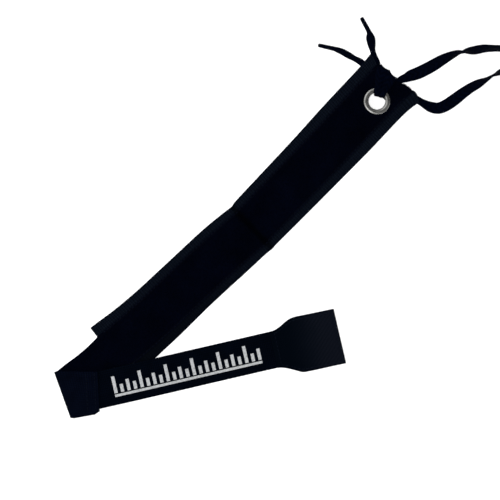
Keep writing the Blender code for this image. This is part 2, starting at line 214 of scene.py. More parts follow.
# The elastic runs straight at this angle in plan. Its height follows what lies under it.
BAND_ANGLE = math.radians(-31.0)
BAND_OFFSET = -108.1
ELASTIC_HEIGHTS = (
    # distance along the band, height of the underside
    (-174.5, 2.1),
    (-153.8, 2.1),
    (-136.0, 4.4),
    (-107.0, 4.4),
    (-52.0, 0.0),
    (1.0, 0.0),
)
ELASTIC_STEP = 1.8
ELASTIC_RIBS = 16
RIB_COLUMNS = 4
RIB_DEPTH = 0.08
ELASTIC_EDGE = 0.9
ELASTIC_EDGE_SHARE = 0.6

# The tab has a cloth face over a strip of hook tape
TAB_OUTLINE = (
    # distance along the band, half width on the upper side, half width on the lower side
    (-9.6, 15.0, 15.2),
    (-5.0, 15.6, 16.2),
    (0.0, 17.6, 18.3),
    (5.0, 20.2, 20.9),
    (9.0, 21.9, 23.0),
    (11.5, 22.3, 23.6),
    (14.0, 22.5, 23.7),
    (18.0, 22.4, 23.8),
    (26.0, 22.2, 23.9),
    (36.0, 22.0, 24.0),
    (46.0, 21.8, 24.2),
)
TAB_SAMPLES = 6
TAB_COLUMNS = 20
TAB_EDGE_COLUMNS = (0.0, 0.6, 1.6)
TAB_FACE_RISE = 1.45
TAB_FACE_THICK = 1.15
TAB_ROUND = 0.35
TAB_PILLOW = 6.0
TAB_EDGE_SHARE = 0.8
HOOK_TAPE_RISE = 0.75
HOOK_TAPE_THICK = 0.65
HOOK_TAPE_START = 3.0
HOOK_TAPE_END = 44.0
HOOK_TAPE_INSET = 2.2
HOOK_TAPE_COLUMNS = 8
HOOK_TAPE_EDGE_COLUMNS = (0.0, 1.0)

# A hook is a wire bent past a half turn, whose arch takes a share of its height
HOOK_WIRE = 0.16
HOOK_TURN = math.radians(215.0)
HOOK_ARCH = 0.75
HOOK_SINK = 0.05
HOOK_MARGIN = 1.0
HOOK_SKEW = 0.2

# Marks of the fit scale printed on the elastic
SCALE_START = -143.0
SCALE_PITCH = 5.5
SCALE_MARKS = 23
SCALE_BASE = -8.6
SCALE_LINE = 2.0
SCALE_MARK_WIDTH = 2.7
SCALE_HEIGHTS = (17.0, 9.5, 12.5, 9.5)
SCALE_OVERHANG = 1.4
SCALE_GAP = 1.0
INK_THICK = 0.12
INK_GAP = 0.02
INK_CELL = (0.5, 1.4)

# Seams: how the stitches lie, and where they run on the tape, on its folded end and on the tab
STITCH_SHARE = 0.8
STITCH_RISE = 0.05
TAPE_SEAM_INSET = 0.9
TAPE_SEAM_ENDS = (-158.0, 156.0)
FOLD_SEAM_DEPTHS = (2.6, 9.5)
FOLD_SEAM_SHARES = (0.05, 0.95)
TAB_SEAM_INSET = 2.6
TAB_SEAM_RISE = TAB_FACE_RISE + TAB_FACE_THICK * 0.92
TAB_SEAM_ROWS = slice(5, -2)

# Eyelet sections as distance from its axis and height over the flange's underside
EYELET_CENTRE = (138.5, 0.0, 9.7)
EYELET_HOLE = 8.0
EYELET_SIDES = 96
EYELET_RADIUS = 11.0
EYELET_ROUND = 0.22
PUNCH_DEPTH = 22.0
EYELET_FRONT = (
    (9.1, 1.5),
    (9.8, 1.41),
    (10.4, 1.13),
    (10.85, 0.65),
    (EYELET_RADIUS, 0.2),
    (10.8, 0.0),
    (7.65, 0.0),
    (7.65, -5.6),
    (6.95, -5.6),
    (6.95, 0.2),
    (7.2, 0.8),
    (7.7, 1.2),
    (8.4, 1.42),
)
EYELET_BACK = (
    (EYELET_HOLE, -4.5),
    (10.6, -4.5),
    (EYELET_RADIUS, -4.8),
    (EYELET_RADIUS, -5.1),
    (10.5, -5.4),
    (EYELET_HOLE, -5.4),
)

# Painted shade in the ring's throat clears between these distances from the axis
THROAT_SHADE = (6.9, 8.0)

# The lace lies on the surface, turned about its own line by its roll and raised by its lift
LACE_LOOP = (
    # x, y, width, roll in degrees, lift
    (147.6, 2.3, 5.4, 0.0, 0.0),
    (152.5, 0.8, 5.6, 0.0, 0.0),
    (158.5, -0.9, 5.4, 0.0, 0.0),
    (164.9, -1.0, 5.4, 4.0, 0.0),
    (169.5, -2.9, 7.2, 8.0, 0.0),
    (173.1, -4.1, 9.2, 8.0, 0.0),
    (179.3, -7.0, 10.0, 0.0, 0.0),
    (186.4, -9.3, 10.0, 4.0, 0.0),
    (193.5, -11.2, 9.8, 12.0, 0.0),
    (200.9, -13.0, 9.4, 29.0, 0.0),
    (207.8, -15.3, 9.4, 50.0, 0.0),
    (214.4, -18.2, 9.4, 74.0, 0.0),
    (219.9, -21.8, 9.4, 115.0, 0.0),
    (225.1, -25.7, 9.4, 133.0, 0.0),
    (230.8, -29.4, 9.4, 131.0, 0.0),
    (235.7, -33.8, 9.4, 123.0, 0.0),
    (242.2, -40.3, 9.4, 122.0, 0.0),
    (250.2, -49.0, 9.4, 145.0, 0.0),
    (256.5, -62.7, 9.4, 176.0, 0.0),
    (256.0, -77.5, 9.4, 180.0, 0.0),
    (249.8, -91.0, 9.4, 180.0, 0.0),
    (247.0, -106.0, 9.4, 180.0, 0.0),
    (250.0, -121.0, 9.4, 180.0, 0.0),
    (260.0, -134.0, 9.4, 180.0, 0.0),
    (276.0, -141.5, 9.4, 180.0, 0.0),
    (293.0, -138.5, 9.4, 180.0, 0.0),
    (304.5, -126.0, 9.4, 180.0, 0.0),
    (306.5, -110.0, 9.4, 180.0, 0.0),
    (299.0, -95.5, 9.4, 180.0, 0.0),
    (286.5, -84.0, 9.4, 180.0, 0.3),
    (273.5, -74.5, 9.4, 180.0, 1.3),
    (259.5, -66.0, 9.4, 176.0, 2.2),
    (246.8, -59.5, 9.4, 158.0, 1.4),
    (236.0, -55.6, 9.4, 126.0, 0.3),
    (226.7, -52.5, 8.6, 114.0, 0.0),
    (221.5, -50.9, 8.4, 93.0, 0.0),
    (216.1, -49.4, 8.6, 73.0, 0.0),
    (208.7, -47.4, 9.4, 47.0, 0.0),
    (201.5, -45.5, 9.4, 36.0, 0.0),
    (193.7, -44.2, 9.7, 28.0, 0.0),
    (185.3, -43.3, 10.0, 18.0, 0.0),
    (177.6, -42.0, 9.8, 10.0, 0.0),
    (171.0, -39.3, 9.4, 6.0, 0.0),
    (167.0, -33.9, 8.6, 4.0, 0.0),
    (164.6, -27.0, 5.8, 0.0, 0.0),
    (163.0, -21.0, 5.2, 0.0, 0.0),
    (159.5, -13.5, 5.2, 0.0, 0.0),
    (154.0, -8.6, 5.4, 0.0, 0.0),
    (148.0, -5.0, 5.4, 0.0, 0.0),
)

# The two ends run from inside the knot to the points of their tips
LACE_END_UPPER = (
    # x, y, width, roll in degrees, lift
    (148.3, 8.2, 4.4, 0.0, 1.6),
    (151.4, 13.0, 4.6, 0.0, 1.6),
    (154.8, 18.1, 5.0, 0.0, 1.2),
    (159.9, 21.6, 4.6, 0.0, 0.6),
    (162.8, 28.0, 4.0, 0.0, 0.1),
    (165.0, 32.4, 3.8, 0.0, 0.0),
    (167.8, 36.5, 6.2, 8.0, 0.0),
    (170.7, 40.7, 7.2, 10.0, 0.0),
    (172.8, 44.0, 4.2, 0.0, 0.0),
    (173.6, 45.6, 3.0, 0.0, 0.2),
    (175.2, 51.4, 2.4, 0.0, 0.4),
    (176.9, 57.4, 2.2, 0.0, 0.4),
)
LACE_END_LEFT = (
    # x, y, width, roll in degrees, lift
    (152.4, 9.8, 4.4, 0.0, 1.4),
    (151.0, 14.0, 4.6, 0.0, 1.4),
    (150.6, 18.3, 5.0, 0.0, 1.2),
    (151.8, 24.5, 5.0, 0.0, 0.5),
    (151.4, 32.5, 5.0, 0.0, 0.0),
    (149.7, 37.8, 4.2, 6.0, 0.0),
    (148.0, 43.2, 5.2, 12.0, 0.0),
    (146.4, 48.6, 5.0, 12.0, 0.0),
    (144.3, 53.4, 3.8, 0.0, 0.0),
    (143.3, 55.2, 3.0, 0.0, 0.2),
    (139.8, 60.6, 2.4, 0.0, 0.4),
    (136.4, 65.9, 2.2, 0.0, 0.4),
)

# The two hitched strands come up through the eyelet, over the ring and round the panel's end to the knot
LACE_HITCH_LEFT = (
    # x, y, z, width, slant of the width from the Y axis in degrees
    (147.0, 2.5, 0.8, 5.4, -14.0),
    (143.6, 3.2, 1.2, 5.0, 2.0),
    (142.3, 3.2, 2.8, 4.6, 24.0),
    (141.6, 3.1, 5.4, 4.4, 32.0),
    (141.6, 3.1, 8.0, 4.4, 32.0),
    (141.8, 3.3, 10.6, 4.4, 32.0),
    (142.7, 4.3, 12.6, 4.8, 32.0),
    (144.8, 6.2, 13.2, 5.2, 25.0),
    (148.0, 8.3, 12.4, 5.6, 24.0),
    (151.8, 11.2, 10.9, 7.0, 18.0),
    (155.4, 13.7, 10.5, 8.4, 10.0),
    (158.4, 14.9, 10.5, 8.6, 8.0),
    (160.9, 15.0, 9.6, 8.6, 10.0),
    (161.9, 14.9, 7.4, 8.6, 10.0),
    (160.9, 14.8, 5.2, 8.0, 8.0),
    (158.9, 14.8, 4.2, 6.0, 0.0),
    (157.2, 14.2, 3.9, 4.6, 0.0),
)
LACE_HITCH_RIGHT = (
    # x, y, z, width, slant of the width from the Y axis in degrees
    (147.5, -4.7, 0.8, 5.4, -31.0),
    (144.9, -2.9, 1.2, 5.0, -10.0),
    (144.2, -0.9, 2.8, 4.4, 12.0),
    (143.6, -0.4, 5.4, 3.4, 37.0),
    (143.6, -0.4, 8.0, 3.4, 37.0),
    (143.8, -0.2, 10.6, 3.5, 37.0),
    (145.0, 0.4, 12.6, 4.1, 33.0),
    (147.2, 1.6, 13.2, 4.8, 25.0),
    (150.3, 2.6, 12.4, 5.6, 22.0),
    (153.4, 3.8, 10.9, 7.0, 14.0),
    (156.8, 5.2, 10.5, 8.4, 6.0),
    (159.7, 6.3, 10.5, 9.4, 0.0),
    (161.8, 6.6, 9.6, 9.4, 0.0),
    (162.6, 6.7, 7.4, 9.4, 0.0),
    (161.8, 6.6, 5.2, 8.6, 0.0),
    (160.1, 6.8, 4.2, 6.0, 0.0),
    (157.2, 7.7, 3.9, 4.6, 0.0),
)
LACE_SAMPLES = 4
LACE_PLACES = (0.0, 0.08, 0.25, 0.42, 0.58, 0.75, 0.92, 1.0)
LACE_ROUND = 0.4

# The lace's rise in its middle when flat, how much more it rises as it is gathered, and the share of its
# width that it curls by where it twists, which is less where it is gathered
LACE_ARCH = 0.25
LACE_GATHER = 0.085
LACE_CURL = 0.16

KNOT_CENTRE = Vector((151.4, 11.6, 2.6))
KNOT_SIZE = (11.0, 12.4, 4.6)
KNOT_STEPS = 72
KNOT_STRAND = 3.2
KNOT_RISE = 0.26

# Tips of the two ends
AGLET_WIDTH = 3.8
AGLET_DEPTH = 2.2
AGLET_SIDES = 24
AGLETS = (
    # name, solid that it stands for, start x, start y, tip x, tip y
    ("upper_tip", "aglet_upper", 173.8, 46.1, 177.1, 58.2),
    ("left_tip", "aglet_left", 143.0, 55.7, 135.9, 66.6),
)
AGLET_SECTION = (
    # share of its length, share of its half width
    (0.0, 0.0),
    (0.0, 0.9),
    (0.03, 1.0),
    (0.16, 0.99),
    (0.19, 0.9),
    (0.22, 0.98),
    (0.36, 0.96),
    (0.39, 0.87),
    (0.42, 0.95),
    (0.9, 0.86),
    (0.97, 0.74),
    (1.0, 0.5),
    (1.0, 0.0),
)


def linear(code):
    """Linear red, green and blue of an sRGB hex colour."""
    shares = [int(code[place:place + 2], 16) / 255.0 for place in (1, 3, 5)]
    return tuple(s / 12.92 if s <= 0.04045 else ((s + 0.055) / 1.055) ** 2.4 for s in shares)


def colour_setting(name, description, code):
    """A colour that a user may change, from its sRGB hex code."""
    return FloatVectorProperty(
        name=name, description=description, default=linear(code), subtype="COLOR", size=3, min=0.0, max=1.0
    )


def length_setting(name, description, millimetres):
    """A length that a user may change, from its millimetres."""
    return FloatProperty(name=name, description=description, default=millimetres * MM, unit="LENGTH", min=0.0)


class StrapSizes(bpy.types.PropertyGroup):
    """Sizes of the fine work that a maker could change"""

    stitch: length_setting("Stitch", "Length of a stitch with the gap after it", 3.4)
    thread: length_setting("Thread", "Width of the sewing thread", 0.7)
    ripple: length_setting("Ripple", "How uneven the panel lies", 0.5)
    pile: length_setting("Pile", "Height of the loops over the tape", 0.5)
    hook: length_setting("Hook", "Height of the hooks under the tab", 0.6)
    hook_pitch: length_setting("Hook pitch", "Distance from hook to hook", 2.2)
    loops: FloatProperty(name="Loops", description="Loops to a square millimetre of pile", default=0.55)


class StrapColours(bpy.types.PropertyGroup):
    """Colours of the strap's materials"""

    webbing: colour_setting("Webbing", "Woven panel", "#05080f")
    pile: colour_setting("Pile", "Loop pile", "#010208")
    backing: colour_setting("Backing", "Back of the loop tape", "#02040c")
    elastic: colour_setting("Elastic", "Knitted elastic", "#010308")
    ink: colour_setting("Ink", "Printed scale", "#9fa1a3")
    tab: colour_setting("Tab", "Face of the tab", "#010409")
    # A painted sheen, lighter towards the tab's end
    tab_sheen: colour_setting("Tab end", "Worn end of the tab", "#07090f")
    lace: colour_setting("Lace", "Flat lace", "#01030c")
    thread: colour_setting("Thread", "Sewing thread", "#060912")
    metal: colour_setting("Metal", "Nickel plate", "#adadaa")
    floor: colour_setting("Floor", "Paper sweep", "#f8f8f8")


class StageSettings(bpy.types.PropertyGroup):
    """Camera and lights"""

    view_width: length_setting("View width", "Width of the floor that the camera sees", 410.0)
    camera_height: length_setting("Camera height", "Height of the camera over the floor", 5000.0)
    key: FloatProperty(name="Key", description="Power of the main side softbox", default=10.0, unit="POWER")
    fill: FloatProperty(name="Fill", description="Power of the other softbox", default=5.0, unit="POWER")
    top: FloatProperty(name="Top", description="Power of the softbox overhead", default=200.0, unit="POWER")
    sides: FloatProperty(name="Sides", description="Strength of the even light from all sides", default=0.45)
    zenith: FloatProperty(name="Zenith", description="Strength of the even light overhead", default=0.13)


def smooth_step(value, low, high):
    """Nought before low, one after high, and an even curve between."""
    share = min(max((value - low) / (high - low), 0.0), 1.0)
    return share * share * (3.0 - 2.0 * share)


def at_place(rows, place):
    """The second column of a table where its falling first column is at that place."""
    for (high, first), (low, second) in zip(rows, rows[1:]):
        if place >= low:
            share = min((high - place) / (high - low), 1.0)
            return first + (second - first) * max(share, 0.0)
    return rows[-1][1]


def through(rows, samples):
    """Points of a smooth curve through the rows of a table, column by column."""
    rows = [Vector(row) for row in rows]
    last = len(rows) - 1
    points = []
    for index in range(last):
        before = rows[max(index - 1, 0)]
        start = rows[index]
        end = rows[index + 1]
        after = rows[min(index + 2, last)]
        for step in range(samples):
            t = step / samples
            pull = (end - before) * t + (2.0 * before - 5.0 * start + 4.0 * end - after) * t * t
            pull += (3.0 * start - before - 3.0 * end + after) * t * t * t
            points.append(start + 0.5 * pull)
    points.append(rows[last])
    return points


def node(tree, kind, inputs, **settings):
    """Add one shader node, with its settings, and set or link its inputs."""
    made = tree.nodes.new("ShaderNode" + kind)
    for name, value in settings.items():
        setattr(made, name, value)
    for socket, value in inputs.items():
        if isinstance(value, bpy.types.NodeSocket):
            tree.links.new(value, made.inputs[socket])
        else:
            made.inputs[socket].default_value = value
    return made


def material(name, constants):
    """A new material and its tree and shader, with the constant values on the shader's own sockets."""
    made = bpy.data.materials.new(name)
    made.use_nodes = True
    shader = made.node_tree.nodes["Principled BSDF"]
    for socket, value in constants.items():
        shader.inputs[socket].default_value = value
    return made, made.node_tree, shader


def shaded(colour, share):
    """A colour made darker or lighter by a share, with its alpha."""
    return (colour[0] * share, colour[1] * share, colour[2] * share, 1.0)


def dress(tree, shader, dark, light, height, depth, strength=1.0):
    """Colour the shader from dark to light by a height, and bump it by that to a depth in millimetres."""
    tint = node(tree, "Mix", {0: height, 6: dark, 7: light}, data_type="RGBA")
    tree.links.new(tint.outputs[2], shader.inputs["Base Color"])
    bump = node(tree, "Bump", {"Height": height, "Distance": depth * MM, "Strength": strength})
    tree.links.new(bump.outputs["Normal"], shader.inputs["Normal"])


def woven(tree, across, along, mottle, wander):
    """Height of a weave with that many millimetres between threads, uneven over the mottle's millimetres."""
    place = node(tree, "UVMap", {}, uv_map=WEAVE).outputs["UV"]
    warp = node(
        tree, "TexWave", {"Vector": place, "Scale": WAVE / across, "Distortion": wander}, bands_direction="X"
    )
    weft = node(
        tree, "TexWave", {"Vector": place, "Scale": WAVE / along, "Distortion": wander}, bands_direction="Y"
    )
    cloth = node(tree, "Math", {0: warp.outputs["Fac"], 1: weft.outputs["Fac"]}, operation="ADD")
    cloud = node(tree, "TexNoise", {"Vector": place, "Scale": 1.0 / mottle, "Detail": 4.0, "Roughness": 0.6})
    varied = node(tree, "Math", {0: cloth.outputs[0], 1: cloud.outputs["Fac"]}, operation="MULTIPLY")
    return varied.outputs[0]


def crease_shade(tree):
    """A share that falls to little where the fold mark crosses the strap, which paints shade into the crease.
    """
    place = node(tree, "TexCoord", {}).outputs["Object"]
    along = node(tree, "SeparateXYZ", {"Vector": place}).outputs["X"]
    gap = node(tree, "Math", {0: along, 1: CREASE_X * MM}, operation="SUBTRACT")
    away = node(tree, "Math", {0: gap.outputs[0]}, operation="ABSOLUTE")
    pressed = {"Value": away.outputs[0], "From Max": 1.5 * CREASE_HALF_WIDTH * MM, "To Min": 0.15}
    return node(tree, "MapRange", pressed, interpolation_type="SMOOTHSTEP").outputs["Result"]


def polyester_webbing(colour):
    # Polyester webbing, woven in cross ribs: dull, painted lighter on the crowns of its ribs as a painted
    # highlight and darker between them as painted shade.
    # Real ribs are about 1.3 mm apart and are drawn at 2.2 mm so that they show.
    # Its lower edge is painted darker towards the folded end, as painted shade.
    made, tree, shader = material(
        "polyester_webbing",
        {"Roughness": 0.8, "Specular IOR Level": 0.015, "Sheen Weight": 0.01, "Sheen Roughness": 0.3},
    )
    height = woven(tree, across=1.6, along=2.2, mottle=2.4, wander=1.2)
    place = node(tree, "TexCoord", {}).outputs["Object"]
    # Painted shade: darker towards the lower edge near the folded end
    towards_shade = node(tree, "VectorMath", {0: place, 1: PAINTED_SHADE_TOWARDS}, operation="DOT_PRODUCT").outputs["Value"]
    reach = {"Value": towards_shade, "From Min": PAINTED_SHADE_FROM * MM, "From Max": PAINTED_SHADE_TO * MM, "To Min": 0.3}
    unshaded = node(tree, "MapRange", reach, interpolation_type="SMOOTHSTEP").outputs["Result"]
    # Painted shade: the webbing is also painted darker along the fold mark
    unshaded_share = node(tree, "Math", {0: unshaded, 1: crease_shade(tree)}, operation="MULTIPLY")
    lit = node(tree, "Math", {0: height, 1: unshaded_share.outputs[0]}, operation="MULTIPLY")
    dress(tree, shader, shaded(colour, 0.3), shaded(colour, 1.9), lit.outputs[0], depth=0.35)
    return made


def nylon_pile(colour):
    # Brushed nylon loops: almost black from above, since light is lost between the loops.
    # Loops are about 0.6 mm apart and their clumps are drawn at 1.8 mm so that they show.
    made, tree, shader = material(
        "nylon_pile",
        {"Roughness": 0.95, "Specular IOR Level": 0.0, "Sheen Weight": 0.005, "Sheen Roughness": 0.5},
    )
    place = node(tree, "TexCoord", {}).outputs["Object"]
    grain = {"Vector": place, "Scale": 1.0 / (1.8 * MM), "Detail": 4.0, "Roughness": 0.7}
    clump = node(tree, "TexNoise", grain)
    brushed = node(tree, "TexNoise", {"Vector": place, "Scale": 1.0 / (22.0 * MM), "Detail": 2.0})
    height = node(tree, "Math", {0: clump.outputs["Fac"], 1: brushed.outputs["Fac"]}, operation="MULTIPLY")
    # Painted shade: the pile is painted darker along the fold mark
    lit = node(tree, "Math", {0: height.outputs[0], 1: crease_shade(tree)}, operation="MULTIPLY")
    dress(tree, shader, shaded(colour, 0.25), shaded(colour, 3.2), lit.outputs[0], depth=0.9)
    return made


def nylon_backing(colour):
    # The flat woven back of loop tape: closer and a little lighter than the pile.
    # Its threads are about 0.5 mm apart and are drawn at 1.5 mm so that they show.
    made, tree, shader = material(
        "nylon_backing",
        {"Roughness": 0.75, "Specular IOR Level": 0.01, "Sheen Weight": 0.01, "Sheen Roughness": 0.3},
    )
    height = woven(tree, across=1.5, along=1.7, mottle=9.0, wander=0.8)
    dress(tree, shader, shaded(colour, 0.45), shaded(colour, 1.7), height, depth=0.2)
    return made


def knitted_elastic(colour):
    # Knitted elastic: rubber cords make its long ribs, and the yarn round them its short cross stitches.
    # The stitches are about 0.9 mm apart and are drawn at 1.5 mm so that they show.
    made, tree, shader = material(
        "knitted_elastic",
        {"Roughness": 0.75, "Specular IOR Level": 0.008, "Sheen Weight": 0.01, "Sheen Roughness": 0.3},
    )
    height = woven(tree, across=ELASTIC_WIDTH / ELASTIC_RIBS, along=1.5, mottle=14.0, wander=0.5)
    dress(tree, shader, shaded(colour, 0.4), shaded(colour, 1.8), height, depth=0.3)
    return made


def plastisol_ink(colour):
    # Plastisol ink cured on elastic: pale, slightly glossy, with the knit showing through and fine gaps.
    made, tree, shader = material("plastisol_ink", {"Roughness": 0.5, "Specular IOR Level": 0.3})
    place = node(tree, "TexCoord", {}).outputs["Object"]
    grain = node(tree, "TexNoise", {"Vector": place, "Scale": 1.0 / (1.4 * MM), "Detail": 3.0})
    thin = node(tree, "MapRange", {"Value": grain.outputs["Fac"], "From Min": 0.3, "From Max": 0.55})
    dress(tree, shader, shaded(colour, 0.62), shaded(colour, 1.0), thin.outputs["Result"], depth=0.06)
    return made


def coated_tab_cloth(colour, sheen_colour):
    # Polyester cloth with a thin coat: a close twill, smoother and a little shinier than webbing.
    # It is painted lighter towards its end, as a painted sheen.
    # The twill is about 0.6 mm and is drawn at 1.8 mm so that it shows.
    made, tree, shader = material(
        "coated_tab_cloth",
        {"Roughness": 0.6, "Specular IOR Level": 0.006, "Sheen Weight": 0.005, "Sheen Roughness": 0.3},
    )
    place = node(tree, "UVMap", {}, uv_map=WEAVE).outputs["UV"]
    twill = node(
        tree, "TexWave", {"Vector": place, "Scale": WAVE / 1.8, "Distortion": 0.7}, bands_direction="DIAGONAL"
    )
    cloud = node(tree, "TexNoise", {"Vector": place, "Scale": 1.0 / 16.0, "Detail": 3.0})
    along = node(tree, "SeparateXYZ", {"Vector": place}).outputs["Y"]
    # Painted sheen: lighter from 10 mm to 52 mm along the tab
    sheen_along = {"Value": along, "From Min": 10.0, "From Max": 52.0, "To Min": 0.05, "To Max": 1.2}
    varied = node(tree, "MapRange", sheen_along, interpolation_type="SMOOTHSTEP")
    cloth = node(tree, "Math", {0: twill.outputs["Fac"], 1: cloud.outputs["Fac"]}, operation="MULTIPLY")
    height = node(tree, "Math", {0: cloth.outputs[0], 1: 0.6}, operation="ADD")
    lit = node(tree, "Math", {0: height.outputs[0], 1: varied.outputs["Result"]}, operation="MULTIPLY")
    dress(tree, shader, shaded(colour, 0.9), shaded(sheen_colour, 1.4), lit.outputs[0], depth=0.12)
    return made


def moulded_hook_nylon(colour):
    # Moulded nylon hooks on their tape: hard and a little shiny, with a fine grain from the mould.
    made, tree, shader = material("moulded_hook_nylon", {"Roughness": 0.45, "Specular IOR Level": 0.2})
    place = node(tree, "TexCoord", {}).outputs["Object"]
    grain = node(tree, "TexNoise", {"Vector": place, "Scale": 1.0 / (0.8 * MM), "Detail": 2.0})
    dress(tree, shader, shaded(colour, 0.7), shaded(colour, 1.4), grain.outputs["Fac"], depth=0.05)
    return made


def bonded_thread(colour):
    # Bonded nylon thread: a tight twist that catches the light a little more than the cloth.
    # The twist is about 0.4 mm and is drawn at 0.9 mm so that it shows.
    made, tree, shader = material("bonded_thread", {"Roughness": 0.6, "Specular IOR Level": 0.03})
    place = node(tree, "TexCoord", {}).outputs["Object"]
    twist = node(
        tree,
        "TexWave",
        {"Vector": place, "Scale": WAVE / (0.9 * MM), "Distortion": 1.0},
        bands_direction="DIAGONAL",
    )
    dress(tree, shader, shaded(colour, 0.6), shaded(colour, 1.5), twist.outputs["Fac"], depth=0.08)
    return made


def nickel_plate(colour):
    # Nickel plate on a pressed eyelet: grey metal with fine turning marks, a few dull handling spots, and
    # painted shade in its throat.
    made, tree, shader = material("nickel_plate", {"Metallic": 1.0})
    place = node(tree, "TexCoord", {}).outputs["Object"]
    centred = node(tree, "Mapping", {"Vector": place, "Location": tuple(-v * MM for v in EYELET_CENTRE)})
    rings = node(
        tree,
        "TexWave",
        {"Vector": centred.outputs["Vector"], "Scale": WAVE / (0.9 * MM), "Distortion": 1.5, "Detail": 3.0},
        wave_type="RINGS",
        rings_direction="Z",
    )
    spots = node(tree, "TexNoise", {"Vector": place, "Scale": 1.0 / (4.0 * MM), "Detail": 5.0})
    dull = node(
        tree,
        "MapRange",
        {"Value": spots.outputs["Fac"], "From Min": 0.35, "From Max": 0.7, "To Min": 0.2, "To Max": 0.42},
    )
    tree.links.new(dull.outputs["Result"], shader.inputs["Roughness"])
    # Painted shade: the ring is painted darker inside the throat
    flat = node(tree, "VectorMath", {0: centred.outputs["Vector"], 1: (1.0, 1.0, 0.0)}, operation="MULTIPLY")
    out = node(tree, "VectorMath", {0: flat.outputs["Vector"]}, operation="LENGTH").outputs["Value"]
    unshaded = node(tree, "MapRange", {"Value": out, "From Min": THROAT_SHADE[0] * MM, "From Max": THROAT_SHADE[1] * MM})
    bright = node(tree, "MapRange", {"Value": rings.outputs["Fac"], "To Min": 0.75, "To Max": 1.0})
    lit = node(tree, "Math", {0: unshaded.outputs["Result"], 1: bright.outputs["Result"]}, operation="MULTIPLY")
    dress(tree, shader, shaded(colour, 0.2), shaded(colour, 1.15), lit.outputs[0], depth=0.03)
    return made


def flat_woven_lace(colour):
    # Flat tubular lace, braided on the slant: herringbone ribs, soft and slightly shiny.
    # The braid is about 1.1 mm and is drawn at 2.4 mm so that it shows.
    made, tree, shader = material(
        "flat_woven_lace",
        {"Roughness": 0.7, "Specular IOR Level": 0.01, "Sheen Weight": 0.01, "Sheen Roughness": 0.3},
    )
    place = node(tree, "UVMap", {}, uv_map=WEAVE).outputs["UV"]
    part = node(tree, "SeparateXYZ", {"Vector": place})
    side = node(tree, "Math", {0: part.outputs["X"]}, operation="ABSOLUTE")
    mirrored = node(tree, "CombineXYZ", {"X": side.outputs[0], "Y": part.outputs["Y"]})
    braid = node(
        tree,
        "TexWave",
        {"Vector": mirrored.outputs["Vector"], "Scale": WAVE / 2.4, "Distortion": 0.6},
        bands_direction="DIAGONAL",
    )
    cloud = node(tree, "TexNoise", {"Vector": place, "Scale": 1.0 / 11.0, "Detail": 3.0})
    height = node(tree, "Math", {0: braid.outputs["Fac"], 1: cloud.outputs["Fac"]}, operation="MULTIPLY")
    dress(tree, shader, shaded(colour, 0.6), shaded(colour, 1.7), height.outputs[0], depth=0.25)
    return made


def acetate_film(colour):
    # Acetate film rolled hot round the lace's end: smooth and glossy, with faint lengthwise drag marks.
    made, tree, shader = material("acetate_film", {"Roughness": 0.3, "Specular IOR Level": 0.25})
    place = node(tree, "TexCoord", {}).outputs["Object"]
    marks = {"Vector": place, "Scale": 1.0 / (1.2 * MM), "Detail": 4.0, "Distortion": 1.5}
    drag = node(tree, "TexNoise", marks)
    dress(tree, shader, shaded(colour, 0.5), shaded(colour, 1.3), drag.outputs["Fac"], depth=0.04)
    return made


def paper_sweep(colour):
    # Matt white studio paper: even, with a tooth too fine to see and the faintest change of tone.
    made, tree, shader = material("paper_sweep", {"Roughness": 0.9, "Specular IOR Level": 0.1})
    place = node(tree, "TexCoord", {}).outputs["Object"]
    tooth = node(tree, "TexNoise", {"Vector": place, "Scale": 1.0 / (3.0 * MM), "Detail": 2.0})
    pale = shaded(colour, 1.0)
    dress(tree, shader, shaded(colour, 0.985), pale, tooth.outputs["Fac"], depth=0.02, strength=0.2)
    return made


def mesh_data(name, mesh):
    """Mesh data that takes over a bmesh."""
    data = bpy.data.meshes.new(name)
    mesh.to_mesh(data)
    mesh.free()
    return data


def placed(name, data):
    """A new object at the origin of the scene."""
    item = bpy.data.objects.new(name, data)
    bpy.context.scene.collection.objects.link(item)
    return item


def piece(name, mesh, finishes, stands_for=()):
    """Make a bmesh in millimetres into a finished object that moves with the strap."""
    bmesh.ops.scale(mesh, vec=(MM, MM, MM), verts=mesh.verts)
    data = mesh_data(name, mesh)
    for finish in finishes:
        data.materials.append(finish)
    item = placed(name, data)
    smooth(data)
    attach(item, BODY)
    if stands_for:
        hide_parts(*stands_for)
    return item


def smooth(data):
    """Shade a mesh smooth but for its sharp edges."""
    data.shade_smooth()
    data.set_sharp_from_angle(angle=SHARP)


def settle(item):
    """Apply a piece's modifiers, so that its mesh is what shows."""
    graph = bpy.context.evaluated_depsgraph_get()
    shown = item.evaluated_get(graph)
    data = bpy.data.meshes.new_from_object(shown, preserve_all_data_layers=True, depsgraph=graph)
    item.modifiers.clear()
    plain = item.data
    item.data = data
    bpy.data.meshes.remove(plain)
    data.name = item.name
    smooth(data)


def thicken(item, thickness, offset=1.0, edge=0.0):
    """Give a strip its thickness, its second material on the far side, and rounded edges."""
    item.vertex_groups.new(name="thickness")
    solid = item.modifiers.new("cloth", "SOLIDIFY")
    solid.thickness = thickness * MM
    solid.offset = offset
    solid.vertex_group = "thickness"
    solid.material_offset = len(item.data.materials) - 1
    if edge:
        rounded = item.modifiers.new("rounded edge", "BEVEL")
        rounded.width = edge * MM
        rounded.segments = 2
        rounded.limit_method = "ANGLE"
        rounded.angle_limit = ROUNDED


